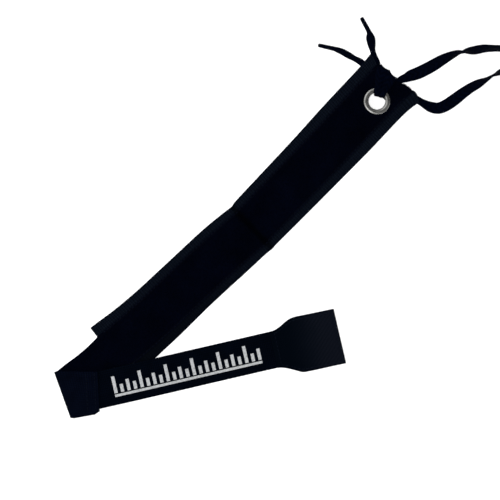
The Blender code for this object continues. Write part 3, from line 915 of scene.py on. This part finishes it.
def punch(item):
    """Cut the eyelet's hole through a thickened strip, and settle it."""
    mesh = bmesh.new()
    bmesh.ops.create_cone(
        mesh,
        cap_ends=True,
        segments=EYELET_SIDES,
        radius1=EYELET_HOLE * MM,
        radius2=EYELET_HOLE * MM,
        depth=PUNCH_DEPTH * MM,
    )
    bmesh.ops.translate(mesh, vec=Vector(EYELET_CENTRE) * MM, verts=mesh.verts)
    data = mesh_data("hole", mesh)
    cutter = placed("hole", data)
    hole = item.modifiers.new("hole", "BOOLEAN")
    hole.operation = "DIFFERENCE"
    hole.solver = "EXACT"
    hole.object = cutter
    settle(item)
    bpy.data.objects.remove(cutter)
    bpy.data.meshes.remove(data)


def strides(sections):
    """How far a strip's middle goes from each pair of edge points to the next."""
    return [(c + d - a - b).length / 2.0 for (a, b), (c, d) in zip(sections, sections[1:])]


def laid_strip(sections, places, shape=None, share=None):
    """A grid between pairs of edge points, with its millimetres across and along on its UV map."""
    mesh = bmesh.new()
    columns = len(places) - 1
    rows = len(sections) - 1
    bmesh.ops.create_grid(mesh, x_segments=columns, y_segments=rows, size=0.5)
    weave = mesh.loops.layers.uv.new(WEAVE)
    weight = mesh.verts.layers.deform.verify()
    run = [0.0]
    for stride in strides(sections):
        run.append(run[-1] + stride)
    for vert in mesh.verts:
        place = places[round((vert.co.x + 0.5) * columns)]
        row = round((vert.co.y + 0.5) * rows)
        start, end = sections[row]
        across = (place - 0.5) * (end - start).length
        for loop in vert.link_loops:
            loop[weave].uv = (across, run[row])
        point = start.lerp(end, place)
        vert[weight][0] = share(across, point) if share else 1.0
        vert.co = shape(point) if shape else point
    return mesh


def even(columns):
    """Places across a strip that has that many even columns."""
    return [column / columns for column in range(columns + 1)]


def edged(columns, width, edges):
    """Places across a strip, at those millimetres from either edge and evenly between."""
    near = [edge / width for edge in edges]
    inner = [near[-1] + (1.0 - 2.0 * near[-1]) * place for place in even(columns)]
    return near[:-1] + inner + [1.0 - place for place in reversed(near[:-1])]


def ripple(point):
    """Slight unevenness of the panel where it lies flat."""
    sizes = bpy.context.scene.strap_sizes
    lying = smooth_step(point.x, *RIPPLE_STARTS) * (1.0 - smooth_step(point.x, *RIPPLE_ENDS))
    wave = Vector((point.x / RIPPLE_WAVES[0], point.y / RIPPLE_WAVES[1], RIPPLE_SEED))
    uneven = 0.5 + 0.5 * noise.noise(wave)
    return Vector((0.0, 0.0, sizes.ripple / MM * lying * uneven))


def panel_lift(x):
    """Height of the panel's underside at a place along it."""
    return LIFT_HEIGHT * smooth_step(x, LIFT_FROM, LIFT_TO)


def panel_sections():
    """The panel's two edges, from its lower end to the eyelet."""
    pairs = []
    for x_plus, y_plus, x_minus, y_minus in through(PANEL_EDGES, PANEL_SAMPLES):
        plus = Vector((x_plus, y_plus, panel_lift(x_plus)))
        minus = Vector((x_minus, y_minus, panel_lift(x_minus)))
        pairs.append((plus, minus))
    return pairs


def shaped_end(point):
    """Draw the cloth near the panel's end in or out to the end's shape, and lay it unevenly."""
    end = PANEL_EDGES[-1][0]
    reach = smooth_step(point.x, end - END_REACH, end)
    return point + Vector((at_place(END_SHAPE, point.y) * reach, 0.0, 0.0)) + ripple(point)


def tape_on_panel():
    """The tape's backing along the middle of the panel, from the eyelet end down."""
    sections = []
    for plus, minus in reversed(panel_sections()):
        middle = (plus + minus) / 2.0
        half = (plus - minus).normalized() * TAPE_WIDTH / 2.0
        rise = UP * TAPE_RISE
        sections.append((middle - half + rise, middle + half + rise))
    return sections


def tape_past_panel():
    """The tape from the panel's end to its fold, and the fold's half turn."""
    sections = []
    for x_plus, y_plus, x_minus, y_minus, height in through(FREE_TAPE, FREE_SAMPLES):
        # The smooth curve dips a little under the surface where the tape comes down to it
        rise = max(height, 0.0)
        sections.append((Vector((x_minus, y_minus, rise)), Vector((x_plus, y_plus, rise))))
    plus = Vector((*FOLD_LINE[0], FOLD_RADIUS))
    minus = Vector((*FOLD_LINE[1], FOLD_RADIUS))
    along = (minus - plus).normalized()
    outward = Vector((along.y, -along.x, 0.0))
    for step in range(FOLD_STEPS + 1):
        angle = math.pi * (step / FOLD_STEPS - 0.5)
        turn = outward * (FOLD_RADIUS * (math.cos(angle) - 1.0)) + UP * (FOLD_RADIUS * math.sin(angle))
        drawn_in = along * (FOLD_CORNER * math.cos(angle))
        sections.append((minus - drawn_in + turn, plus + turn))
    return sections


def folded_back(fold_end):
    """The tape from its fold back to its cut end, backing up."""
    sections = []
    start = fold_end
    for x_plus, y_plus, x_minus, y_minus in FOLDED_END:
        height = 2.0 * FOLD_RADIUS
        end = (Vector((x_minus, y_minus, height)), Vector((x_plus, y_plus, height)))
        for step in range(1, FOLDED_STEPS + 1):
            share = step / FOLDED_STEPS
            sections.append((start[0].lerp(end[0], share), start[1].lerp(end[1], share)))
        start = end
    return sections


def pile_share(across, point):
    """Share of the tape's thickness: less on its bare margins and at the crease, and uneven over the pile."""
    if abs(across) > TAPE_WIDTH / 2.0 - MARGIN:
        return MARGIN_SHARE
    away = smooth_step(abs(point.x - CREASE_X), 0.0, CREASE_HALF_WIDTH)
    pressed = CREASE_SHARE + (1.0 - CREASE_SHARE) * away
    clumps = 0.5 + 0.5 * noise.noise(point / PILE_CLUMP)
    return pressed * (PILE_LEAST + (1.0 - PILE_LEAST) * clumps)


def band_point(distance, sideways, height):
    """A point of the straight band, by its distance along it and its offset from the middle."""
    along = Vector((math.cos(BAND_ANGLE), math.sin(BAND_ANGLE), 0.0))
    across = Vector((-along.y, along.x, 0.0))
    return along * distance + across * (BAND_OFFSET + sideways) + UP * height


def elastic_height(distance):
    """Height of the elastic's underside at a distance along the band."""
    for (start, low), (end, high) in zip(ELASTIC_HEIGHTS, ELASTIC_HEIGHTS[1:]):
        if distance <= end:
            return low + (high - low) * smooth_step(distance, start, end)
    return ELASTIC_HEIGHTS[-1][1]


def elastic_sections():
    """The elastic's two edges, from under the folded tape to the tab."""
    start = ELASTIC_HEIGHTS[0][0]
    end = ELASTIC_HEIGHTS[-1][0]
    half = ELASTIC_WIDTH / 2.0
    steps = round((end - start) / ELASTIC_STEP)
    sections = []
    for step in range(steps + 1):
        distance = start + (end - start) * step / steps
        height = elastic_height(distance)
        sections.append((band_point(distance, half, height), band_point(distance, -half, height)))
    return sections


def thinned(across, width, reach, least):
    """Share of a strip's thickness, from the least at its edges to all of it at that reach from them."""
    return least + (1.0 - least) * smooth_step(width / 2.0 - abs(across), 0.0, reach)


def rib_share(across, point=None):
    """Share of the elastic's thickness at any point along it, fuller over each cord and thin at its edges."""
    rib = math.cos(2.0 * math.pi * across * ELASTIC_RIBS / ELASTIC_WIDTH)
    edge = thinned(across, ELASTIC_WIDTH, ELASTIC_EDGE, ELASTIC_EDGE_SHARE)
    return edge * (1.0 - RIB_DEPTH + RIB_DEPTH * rib)


def tab_sections(inset, height):
    """The tab's two edges, set in by a margin, at a height."""
    sections = []
    for distance, upper, lower in through(TAB_OUTLINE, TAB_SAMPLES):
        first = band_point(distance, upper - inset, height)
        sections.append((first, band_point(distance, inset - lower, height)))
    return sections


def covered(point):
    """Whether a point of the tape past the panel lies under its own folded end or under the elastic."""
    corner = Vector(FOLD_LINE[0])
    edge = Vector(FOLDED_END[0][:2]) - corner
    past_fold = (point.xy - corner).dot(edge.orthogonal().normalized())
    across = band_point(0.0, 1.0, 0.0) - band_point(0.0, 0.0, 0.0)
    past_band = point.dot(across) - BAND_OFFSET - ELASTIC_WIDTH / 2.0
    return min(past_fold, past_band) < LOOP_CLEARANCE


def scattered(template, places):
    """Copies of a small mesh, one for each matrix, as one bmesh."""
    mesh = bmesh.new()
    for place in places:
        copy = template.copy()
        copy.transform(place)
        mesh.from_mesh(copy)
        bpy.data.meshes.remove(copy)
    bpy.data.meshes.remove(template)
    return mesh


def turned_to(along, up, point):
    """A matrix that turns X to along and Z towards up, and moves to a point."""
    side = up.cross(along).normalized()
    along = along.normalized()
    axes = Matrix((along, side, along.cross(side))).transposed().to_4x4()
    return Matrix.Translation(point) @ axes


def thread_stitch(length, width):
    """One stitch along X, round and pointed where it goes into the cloth."""
    mesh = bmesh.new()
    bmesh.ops.create_uvsphere(mesh, u_segments=6, v_segments=5, radius=0.5)
    bmesh.ops.scale(mesh, vec=(width, width, length), verts=mesh.verts)
    bmesh.ops.rotate(mesh, matrix=Matrix.Rotation(math.radians(90.0), 3, "Y"), verts=mesh.verts)
    return mesh_data("stitch", mesh)


def bent_wire(radius, wire, turn):
    """A bent wire with closed ends: an arch standing on the XY plane, or part of one."""
    mesh = bmesh.new()
    bmesh.ops.create_circle(mesh, cap_ends=True, segments=3, radius=wire)
    bmesh.ops.translate(mesh, vec=(radius, 0.0, 0.0), verts=mesh.verts)
    made = bmesh.ops.spin(
        mesh,
        geom=mesh.verts[:] + mesh.edges[:],
        cent=(0.0, 0.0, 0.0),
        axis=(0.0, -1.0, 0.0),
        dvec=(0.0, 0.0, 0.0),
        angle=turn,
        steps=4,
        use_merge=False,
        use_duplicate=False,
    )
    last = [part for part in made["geom_last"] if isinstance(part, bmesh.types.BMEdge)]
    bmesh.ops.edgeloop_fill(mesh, edges=last)
    bmesh.ops.recalc_face_normals(mesh, faces=mesh.faces)
    return mesh_data("wire", mesh)


def seam(line, pitch):
    """Where the stitches of a seam lie, a pitch apart along a line of points, with their tops up."""
    places = []
    due = pitch / 2.0
    for start, end in zip(line, line[1:]):
        step = end - start
        while due <= step.length:
            places.append(turned_to(step, UP, start.lerp(end, due / step.length)))
            due += pitch
        due -= step.length
    return places


def lying_lace(rows):
    """Centre, width direction and width of a lace that lies on the surface, row by row."""
    points = through(rows, LACE_SAMPLES)
    last = len(points) - 1
    sections = []
    for index, (x, y, width, roll, lift) in enumerate(points):
        ahead = points[min(index + 1, last)]
        behind = points[max(index - 1, 0)]
        along = Vector((ahead[0] - behind[0], ahead[1] - behind[1], 0.0)).normalized()
        turn = math.radians(roll)
        side = Vector((-along.y, along.x, 0.0)) * math.cos(turn) + UP * math.sin(turn)
        height = 0.5 * (width * abs(math.sin(turn)) + LACE_THICK * abs(math.cos(turn))) + FLOOR_GAP + lift
        sections.append((Vector((x, y, height)), side, width))
    return sections


def hitched_lace(rows, sign):
    """Centre, width direction of that sign, and width of a strand through the eyelet, its width level."""
    sections = []
    for x, y, z, width, slant in through(rows, LACE_SAMPLES):
        turn = math.radians(slant)
        sections.append((Vector((x, y, z)), Vector((-math.sin(turn), math.cos(turn), 0.0)) * sign, width))
    return sections


def lace_strip(sections):
    """A flat lace through its sections, arched more where it is gathered narrower, and all over the floor."""
    # A strip one millimetre wide gives each point its share across, and the width comes in row by row
    pairs = [(centre + side * 0.5, centre - side * 0.5) for centre, side, width in sections]
    mesh = laid_strip(pairs, LACE_PLACES)
    weave = mesh.loops.layers.uv[WEAVE]
    last = len(sections) - 1
    rows = {}
    for vert in mesh.verts:
        across, run = vert.link_loops[0][weave].uv
        rows.setdefault(round(run, 4), []).append((across, vert))
    for index, run in enumerate(sorted(rows)):
        centre, side, width = sections[index]
        along = sections[min(index + 1, last)][0] - sections[max(index - 1, 0)][0]
        face = along.cross(side).normalized()
        arch = face.z * (LACE_ARCH + LACE_GATHER * math.sqrt(max(LACE_WIDTH ** 2 - width ** 2, 0.0)))
        curl = (1.0 - abs(face.z)) * LACE_CURL * width ** 3 / LACE_WIDTH ** 2
        for across, vert in rows[run]:
            bow = 4.0 * across * across
            vert.co = centre - side * (across * width) + face * (arch * (1.0 - bow) + curl * (0.5 - bow))
            vert.co.z = max(vert.co.z, FLOOR_GAP + LACE_THICK / 2.0)
            for loop in vert.link_loops:
                loop[weave].uv = (across * LACE_WIDTH, run)
    return mesh


def lace_piece(name, sections, finish, stands_for):
    """A finished length of lace, as thick on one side of its sections as on the other."""
    item = piece(name, lace_strip(sections), [finish], stands_for)
    thicken(item, LACE_THICK, offset=0.0, edge=LACE_ROUND)
    settle(item)
    return item


def knot_sections():
    """A flat strand round a trefoil that fills the knot's size, its face outward."""
    sections = []
    for step in range(KNOT_STEPS + 1):
        t = 2.0 * math.pi * step / KNOT_STEPS
        spot = Vector((math.sin(t) + 2.0 * math.sin(2.0 * t), math.cos(t) - 2.0 * math.cos(2.0 * t))) / 6.0
        rise = -KNOT_RISE * math.sin(3.0 * t)
        # Six times how fast the spot and the rise change
        swing = Vector((
            math.cos(t) + 4.0 * math.cos(2.0 * t),
            4.0 * math.sin(2.0 * t) - math.sin(t),
            -18.0 * KNOT_RISE * math.cos(3.0 * t),
        ))
        centre = KNOT_CENTRE + Vector((spot.x * KNOT_SIZE[0], spot.y * KNOT_SIZE[1], rise * KNOT_SIZE[2]))
        side = swing.cross(Vector((spot.x, spot.y, rise))).normalized()
        sections.append((centre, side, KNOT_STRAND))
    return sections


def full_spin(mesh, axis, steps):
    """Spin a section once round an axis through the origin, to a closed skin that faces outwards."""
    bmesh.ops.spin(
        mesh,
        geom=mesh.verts[:] + mesh.edges[:],
        cent=(0.0, 0.0, 0.0),
        axis=axis,
        dvec=(0.0, 0.0, 0.0),
        angle=2.0 * math.pi,
        steps=steps,
        use_merge=True,
        use_duplicate=False,
    )
    bmesh.ops.remove_doubles(mesh, verts=mesh.verts, dist=MERGE)
    bmesh.ops.recalc_face_normals(mesh, faces=mesh.faces)


def turned(profile, centre):
    """A closed section of radius and height, spun about an upright axis."""
    mesh = bmesh.new()
    verts = [mesh.verts.new((radius, 0.0, height)) for radius, height in profile]
    for start, end in zip(verts, verts[1:] + verts[:1]):
        mesh.edges.new((start, end))
    bmesh.ops.bevel(
        mesh,
        geom=verts,
        offset=EYELET_ROUND,
        affect="VERTICES",
        segments=3,
        profile=0.5,
        material=-1,
        clamp_overlap=True,
    )
    full_spin(mesh, (0.0, 0.0, 1.0), EYELET_SIDES)
    bmesh.ops.translate(mesh, vec=centre, verts=mesh.verts)
    return mesh


def tip_mesh(start, tip):
    """A flattened tip with two crimped rings, spun along X and laid from the lace's end to its point."""
    length = (tip - start).length
    mesh = bmesh.new()
    verts = [mesh.verts.new((share * length, 0.0, 0.5 * width)) for share, width in AGLET_SECTION]
    for first, second in zip(verts, verts[1:]):
        mesh.edges.new((first, second))
    full_spin(mesh, (1.0, 0.0, 0.0), AGLET_SIDES)
    bmesh.ops.scale(mesh, vec=(1.0, AGLET_WIDTH, AGLET_DEPTH), verts=mesh.verts)
    lying = start + UP * (AGLET_DEPTH / 2.0 + FLOOR_GAP)
    bmesh.ops.transform(mesh, matrix=turned_to(tip - start, UP, lying), verts=mesh.verts)
    return mesh


class STRAP_OT_stage(bpy.types.Operator):
    """White paper floor, light from all sides but dimmer from the right, softboxes and the camera"""

    bl_idname = "strap.stage"
    bl_label = "Stage"

    def execute(self, context):
        scene = context.scene
        stage = scene.strap_stage
        mesh = bmesh.new()
        bmesh.ops.create_grid(mesh, x_segments=1, y_segments=1, size=FLOOR_HALF_SIZE * MM)
        data = mesh_data("paper_floor", mesh)
        data.materials.append(paper_sweep(scene.strap_colours.floor))
        floor = placed("paper_floor", data)

        scene.world = bpy.data.worlds.new("side_light")
        scene.world.use_nodes = True
        tree = scene.world.node_tree
        direction = node(tree, "TexCoord", {}).outputs["Generated"]
        heading = node(tree, "SeparateXYZ", {"Vector": direction})
        fall = {"Value": heading.outputs["Z"], "From Min": SKY_SIDES_TO, "From Max": SKY_ZENITH_FROM}
        fall.update({"To Min": stage.sides, "To Max": stage.zenith})
        upright = node(tree, "MapRange", fall, interpolation_type="SMOOTHSTEP").outputs["Result"]
        rightward = node(tree, "VectorMath", {0: direction, 1: PICTURE_RIGHT}, operation="DOT_PRODUCT")
        turn = {"Value": rightward.outputs["Value"], "From Min": -1.0}
        turn.update({"To Min": SKY_LEFT, "To Max": SKY_RIGHT})
        level = node(tree, "MapRange", turn).outputs["Result"]
        strength = node(tree, "Math", {0: upright, 1: level}, operation="MULTIPLY")
        background = tree.nodes["Background"]
        background.inputs["Color"].default_value = (1.0, 1.0, 1.0, 1.0)
        tree.links.new(strength.outputs[0], background.inputs["Strength"])

        for name, setting, width, x, y, z, mirrored in SOFTBOXES:
            light = bpy.data.lights.new(name, "AREA")
            light.energy = getattr(stage, setting)
            light.size = width * MM
            spot = Vector((x * MM, y * MM, z * MM))
            lamp = placed(name, light)
            lamp.location = spot
            lamp.rotation_euler = (-spot).to_track_quat("-Z", "Y").to_euler()
            lamp.visible_camera = False
            lamp.visible_glossy = mirrored

        camera = placed("camera", bpy.data.cameras.new("camera"))
        camera.data.sensor_width = SENSOR_WIDTH
        camera.data.lens = SENSOR_WIDTH * stage.camera_height / stage.view_width
        camera.data.clip_end = 4.0 * stage.camera_height
        place = Vector((CAMERA_PLACE[0] * MM, CAMERA_PLACE[1] * MM, stage.camera_height))
        camera.matrix_world = turned_to(PICTURE_RIGHT, UP, place)
        scene.camera = camera
        scene.view_settings.view_transform = "Standard"
        return {"FINISHED"}


class STRAP_OT_tips(bpy.types.Operator):
    """The glossy tips on the lace's two ends"""

    bl_idname = "strap.tips"
    bl_label = "Lace tips"

    def execute(self, context):
        film = acetate_film(context.scene.strap_colours.lace)
        for name, solid, start_x, start_y, tip_x, tip_y in AGLETS:
            mesh = tip_mesh(Vector((start_x, start_y, 0.0)), Vector((tip_x, tip_y, 0.0)))
            piece(name, mesh, [film], [solid])
        return {"FINISHED"}


class STRAP_OT_lace(bpy.types.Operator):
    """The flat lace: its long loop through the eyelet, its knot and its two ends"""

    bl_idname = "strap.lace"
    bl_label = "Lace"

    def execute(self, context):
        lace = flat_woven_lace(context.scene.strap_colours.lace)
        long_run = list(reversed(hitched_lace(LACE_HITCH_LEFT, 1.0)))
        long_run += lying_lace(LACE_LOOP)
        long_run += hitched_lace(LACE_HITCH_RIGHT, -1.0)
        solids = ["lace_loop", "lace_hitch_left", "lace_hitch_right"]
        self.cord("long_lace", long_run, lace, solids, "object", [])
        for name, rows, solid, tip in (
            ("upper_lace_end", LACE_END_UPPER, "lace_end_upper", "upper_tip"),
            ("left_lace_end", LACE_END_LEFT, "lace_end_left", "left_tip"),
        ):
            self.cord(name, lying_lace(rows), lace, [solid], "fitting", [bpy.data.objects[tip]])
        lace_piece("tied_knot", knot_sections(), lace, ["lace_knot"])
        return {"FINISHED"}

    def cord(self, name, sections, finish, solids, far_end, with_pieces):
        """A length of lace along its own sections."""
        item = lace_piece(name, sections, finish, solids)


class STRAP_OT_panel(bpy.types.Operator):
    """The wide webbing panel with its selvages and the eyelet's hole"""

    bl_idname = "strap.panel"
    bl_label = "Webbing panel"

    def execute(self, context):
        webbing = polyester_webbing(context.scene.strap_colours.webbing)
        sections = panel_sections()
        width = (sections[0][0] - sections[0][1]).length
        places = edged(PANEL_COLUMNS, width, PANEL_EDGE_COLUMNS)

        def selvage(across, point):
            return thinned(across, width, SELVAGE_WIDTH, SELVAGE_SHARE)

        mesh = laid_strip(sections, places, shape=shaped_end, share=selvage)
        item = piece("webbing_panel", mesh, [webbing], ["base_panel"])
        thicken(item, PANEL_THICK, edge=PANEL_ROUND)
        punch(item)
        return {"FINISHED"}


class STRAP_OT_tape(bpy.types.Operator):
    """The loop tape along the panel, folded back at its lower end, with its pile of loops"""

    bl_idname = "strap.tape"
    bl_label = "Loop tape"

    def execute(self, context):
        scene = context.scene
        sizes = scene.strap_sizes
        backing = nylon_backing(scene.strap_colours.backing)
        pile = nylon_pile(scene.strap_colours.pile)
        sections = tape_on_panel() + tape_past_panel()
        sections += folded_back(sections[-1])
        places = edged(TAPE_COLUMNS, TAPE_WIDTH, TAPE_EDGE_COLUMNS)
        mesh = laid_strip(sections, places, shape=shaped_end, share=pile_share)
        item = piece("loop_tape_strip", mesh, [pile, backing], ["loop_tape"])
        thicken(item, TAPE_THICK)
        punch(item)

        loops = self.loop_places(item.data, sizes.loops)
        wire = bent_wire(sizes.pile / MM + LOOP_SINK, LOOP_WIRE, math.pi)
        piece("pile_loops", scattered(wire, loops), [pile])
        return {"FINISHED"}

    def loop_places(self, data, density):
        """Where the loops stand on the tape's pile, and which way each is turned."""
        chance = random.Random(5)
        loops = []
        weave = data.uv_layers[WEAVE].data
        for face in data.polygons:
            across = sum(weave[corner].uv.x for corner in face.loop_indices) / len(face.loop_indices)
            flat = face.center.x < TAPE_DOWN_AT * MM and abs(face.normal.z) > FLAT_ENOUGH
            hidden = flat and (face.normal.z < 0.0 or covered(face.center / MM))
            bare = abs(across) > TAPE_WIDTH / 2.0 - MARGIN - LOOP_MARGIN
            under_ring = (face.center / MM - Vector(EYELET_CENTRE)).length < EYELET_RADIUS
            if face.material_index or hidden or bare or under_ring:
                continue
            corners = [data.vertices[index].co / MM for index in face.vertices]
            for _ in range(int(face.area / MM ** 2 * density + chance.random())):
                heading = Vector((chance.uniform(-1.0, 1.0), chance.uniform(-1.0, 1.0), LOOP_LEAN))
                heading.normalize()
                pulls = [chance.random() ** 2 for corner in corners]
                spot = sum((c * pull for c, pull in zip(corners, pulls)), Vector()) / sum(pulls)
                loops.append(turned_to(heading, face.normal, spot - face.normal * LOOP_SINK))
        return loops


class STRAP_OT_elastic(bpy.types.Operator):
    """The ribbed elastic band and the fit scale printed on it"""

    bl_idname = "strap.elastic"
    bl_label = "Elastic band"

    def execute(self, context):
        colours = context.scene.strap_colours
        elastic = knitted_elastic(colours.elastic)
        mesh = laid_strip(elastic_sections(), even(RIB_COLUMNS * ELASTIC_RIBS), share=rib_share)
        item = piece("ribbed_elastic", mesh, [elastic], ["elastic_band"])
        thicken(item, ELASTIC_THICK)
        settle(item)

        marks = bmesh.new()
        end = SCALE_START + SCALE_PITCH * (SCALE_MARKS - 1)
        line = SCALE_BASE + SCALE_LINE
        self.mark(marks, SCALE_START - SCALE_OVERHANG, end + SCALE_OVERHANG, SCALE_BASE, line)
        half = SCALE_MARK_WIDTH / 2.0
        for index in range(SCALE_MARKS):
            middle = SCALE_START + SCALE_PITCH * index
            top = SCALE_BASE + SCALE_HEIGHTS[index % len(SCALE_HEIGHTS)]
            self.mark(marks, middle - half, middle + half, line + SCALE_GAP, top)
        print_item = piece("scale_print", marks, [plastisol_ink(colours.ink)])
        thicken(print_item, INK_THICK)
        settle(print_item)
        return {"FINISHED"}

    def mark(self, marks, start, end, low, high):
        """One printed bar, laid on the ribs of the elastic."""
        columns = max(2, round((high - low) / INK_CELL[0]))
        rows = max(2, round((end - start) / INK_CELL[1]))
        weight = marks.verts.layers.deform.verify()
        made = bmesh.ops.create_grid(marks, x_segments=columns, y_segments=rows, size=0.5)
        for vert in made["verts"]:
            distance = start + (end - start) * (vert.co.y + 0.5)
            sideways = high + (low - high) * (vert.co.x + 0.5)
            vert[weight][0] = 1.0
            top = elastic_height(distance) + ELASTIC_THICK * rib_share(sideways) + INK_GAP
            vert.co = band_point(distance, sideways, top)


class STRAP_OT_tab(bpy.types.Operator):
    """The flared tab: its cloth face, the hook tape under it and the hooks"""

    bl_idname = "strap.tab"
    bl_label = "Fastening tab"

    def execute(self, context):
        colours = context.scene.strap_colours
        sizes = context.scene.strap_sizes
        face = coated_tab_cloth(colours.tab, colours.tab_sheen)
        sections = tab_sections(0.0, TAB_FACE_RISE)
        widest = max((upper - lower).length for upper, lower in sections)

        def pillowed(across, point):
            return thinned(across, widest, TAB_PILLOW, TAB_EDGE_SHARE)

        mesh = laid_strip(sections, edged(TAB_COLUMNS, widest, TAB_EDGE_COLUMNS), share=pillowed)
        item = piece("tab_face", mesh, [face], ["end_tab"])
        thicken(item, TAB_FACE_THICK, edge=TAB_ROUND)
        settle(item)
        strips = zip(sections, strides(sections))
        area = sum((upper - lower).length * stride for (upper, lower), stride in strips)

        nylon = moulded_hook_nylon(colours.tab)
        strip = []
        along = band_point(1.0, 0.0, 0.0) - band_point(0.0, 0.0, 0.0)
        for upper, lower in tab_sections(HOOK_TAPE_INSET, HOOK_TAPE_RISE):
            if HOOK_TAPE_START <= upper.dot(along) <= HOOK_TAPE_END:
                strip.append((upper, lower))
        mesh = laid_strip(strip, edged(HOOK_TAPE_COLUMNS, widest, HOOK_TAPE_EDGE_COLUMNS))
        base = piece("hook_tape", mesh, [nylon])
        thicken(base, HOOK_TAPE_THICK)
        settle(base)

        hooks = self.hook_places(strip, along, sizes.hook_pitch / MM)
        wire = bent_wire(sizes.hook / MM * HOOK_ARCH, HOOK_WIRE, HOOK_TURN)
        piece("tab_hooks", scattered(wire, hooks), [nylon])
        return {"FINISHED"}

    def hook_places(self, strip, along, pitch):
        """Where the hooks stand under their tape, row by row, leaning to either side in turn."""
        hooks = []
        chance = random.Random(8)
        rows = int((HOOK_TAPE_END - HOOK_TAPE_START - 2.0 * HOOK_MARGIN) / pitch)
        for row in range(rows + 1):
            distance = HOOK_TAPE_START + HOOK_MARGIN + row * pitch
            upper, lower = min(strip, key=lambda pair: abs(pair[0].dot(along) - distance))
            ahead = along * (distance - upper.dot(along))
            width = (upper - lower).length
            count = int((width - 2.0 * HOOK_MARGIN) / pitch)
            for index in range(count + 1):
                spot = upper.lerp(lower, (HOOK_MARGIN + index * pitch) / width) + ahead
                lean = 1.0 if index % 2 else -1.0
                heading = Vector((lean, chance.uniform(-HOOK_SKEW, HOOK_SKEW), 0.0)).normalized()
                hooks.append(turned_to(heading, -UP, spot + UP * HOOK_SINK))
        return hooks


class STRAP_OT_stitching(bpy.types.Operator):
    """The seams: along both edges of the tape, across its folded end and round the tab"""

    bl_idname = "strap.stitching"
    bl_label = "Stitching"

    def execute(self, context):
        sizes = context.scene.strap_sizes
        pitch = sizes.stitch / MM
        width = sizes.thread / MM
        places = []
        margin = UP * (TAPE_THICK * MARGIN_SHARE + STITCH_RISE)
        inset = TAPE_SEAM_INSET / TAPE_WIDTH
        start, end = TAPE_SEAM_ENDS
        on_panel = [pair for pair in tape_on_panel() if start < pair[0].x < end]
        for share in (inset, 1.0 - inset):
            places += seam([shaped_end(low.lerp(high, share)) + margin for low, high in on_panel], pitch)

        fold = tape_past_panel()[-1]
        low, high = [point + UP * STITCH_RISE for point in folded_back(fold)[-1]]
        inward = ((fold[0] + fold[1]) - (low + high)).normalized()
        for depth in FOLD_SEAM_DEPTHS:
            places += seam([low.lerp(high, share) + inward * depth for share in FOLD_SEAM_SHARES], pitch)

        tab = tab_sections(TAB_SEAM_INSET, TAB_SEAM_RISE)[TAB_SEAM_ROWS]
        ring = [upper for upper, lower in tab]
        ring += [lower for upper, lower in reversed(tab)]
        places += seam(ring + ring[:1], pitch)
        thread = bonded_thread(context.scene.strap_colours.thread)
        stitches = scattered(thread_stitch(pitch * STITCH_SHARE, width), places)
        piece("seam_stitches", stitches, [thread])
        return {"FINISHED"}


class STRAP_OT_eyelet(bpy.types.Operator):
    """The two pressed halves of the metal eyelet"""

    bl_idname = "strap.eyelet"
    bl_label = "Eyelet"

    def execute(self, context):
        nickel = nickel_plate(context.scene.strap_colours.metal)
        piece("eyelet_ring", turned(EYELET_FRONT, EYELET_CENTRE), [nickel], ["eyelet_front"])
        piece("eyelet_washer", turned(EYELET_BACK, EYELET_CENTRE), [nickel], ["eyelet_back"])
        return {"FINISHED"}


class STRAP_PT_pieces(bpy.types.Panel):
    """Lists the strap's pieces and their settings"""

    bl_idname = "STRAP_PT_pieces"
    bl_label = "Lace converter strap"
    bl_space_type = "VIEW_3D"
    bl_region_type = "UI"
    bl_category = "Strap"

    def draw(self, context):
        for operator in OPERATORS:
            self.layout.operator(operator.bl_idname)
        for group in (context.scene.strap_sizes, context.scene.strap_colours, context.scene.strap_stage):
            box = self.layout.box()
            for name in group.__annotations__:
                box.prop(group, name)


OPERATORS = (
    STRAP_OT_stage,
    STRAP_OT_tips,
    STRAP_OT_lace,
    STRAP_OT_panel,
    STRAP_OT_tape,
    STRAP_OT_elastic,
    STRAP_OT_tab,
    STRAP_OT_stitching,
    STRAP_OT_eyelet,
)
CLASSES = (StrapSizes, StrapColours, StageSettings, *OPERATORS, STRAP_PT_pieces)


def register():
    for kind in CLASSES:
        bpy.utils.register_class(kind)
    bpy.types.Scene.strap_sizes = PointerProperty(type=StrapSizes)
    bpy.types.Scene.strap_colours = PointerProperty(type=StrapColours)
    bpy.types.Scene.strap_stage = PointerProperty(type=StageSettings)


def unregister():
    del bpy.types.Scene.strap_sizes
    del bpy.types.Scene.strap_colours
    del bpy.types.Scene.strap_stage
    for kind in reversed(CLASSES):
        bpy.utils.unregister_class(kind)


def main():
    register()
    bpy.ops.strap.stage()
    bpy.ops.strap.tips()
    bpy.ops.strap.lace()
    bpy.ops.strap.panel()
    bpy.ops.strap.tape()
    bpy.ops.strap.elastic()
    bpy.ops.strap.tab()
    bpy.ops.strap.stitching()
    bpy.ops.strap.eyelet()


if __name__ == "__main__":
    main()
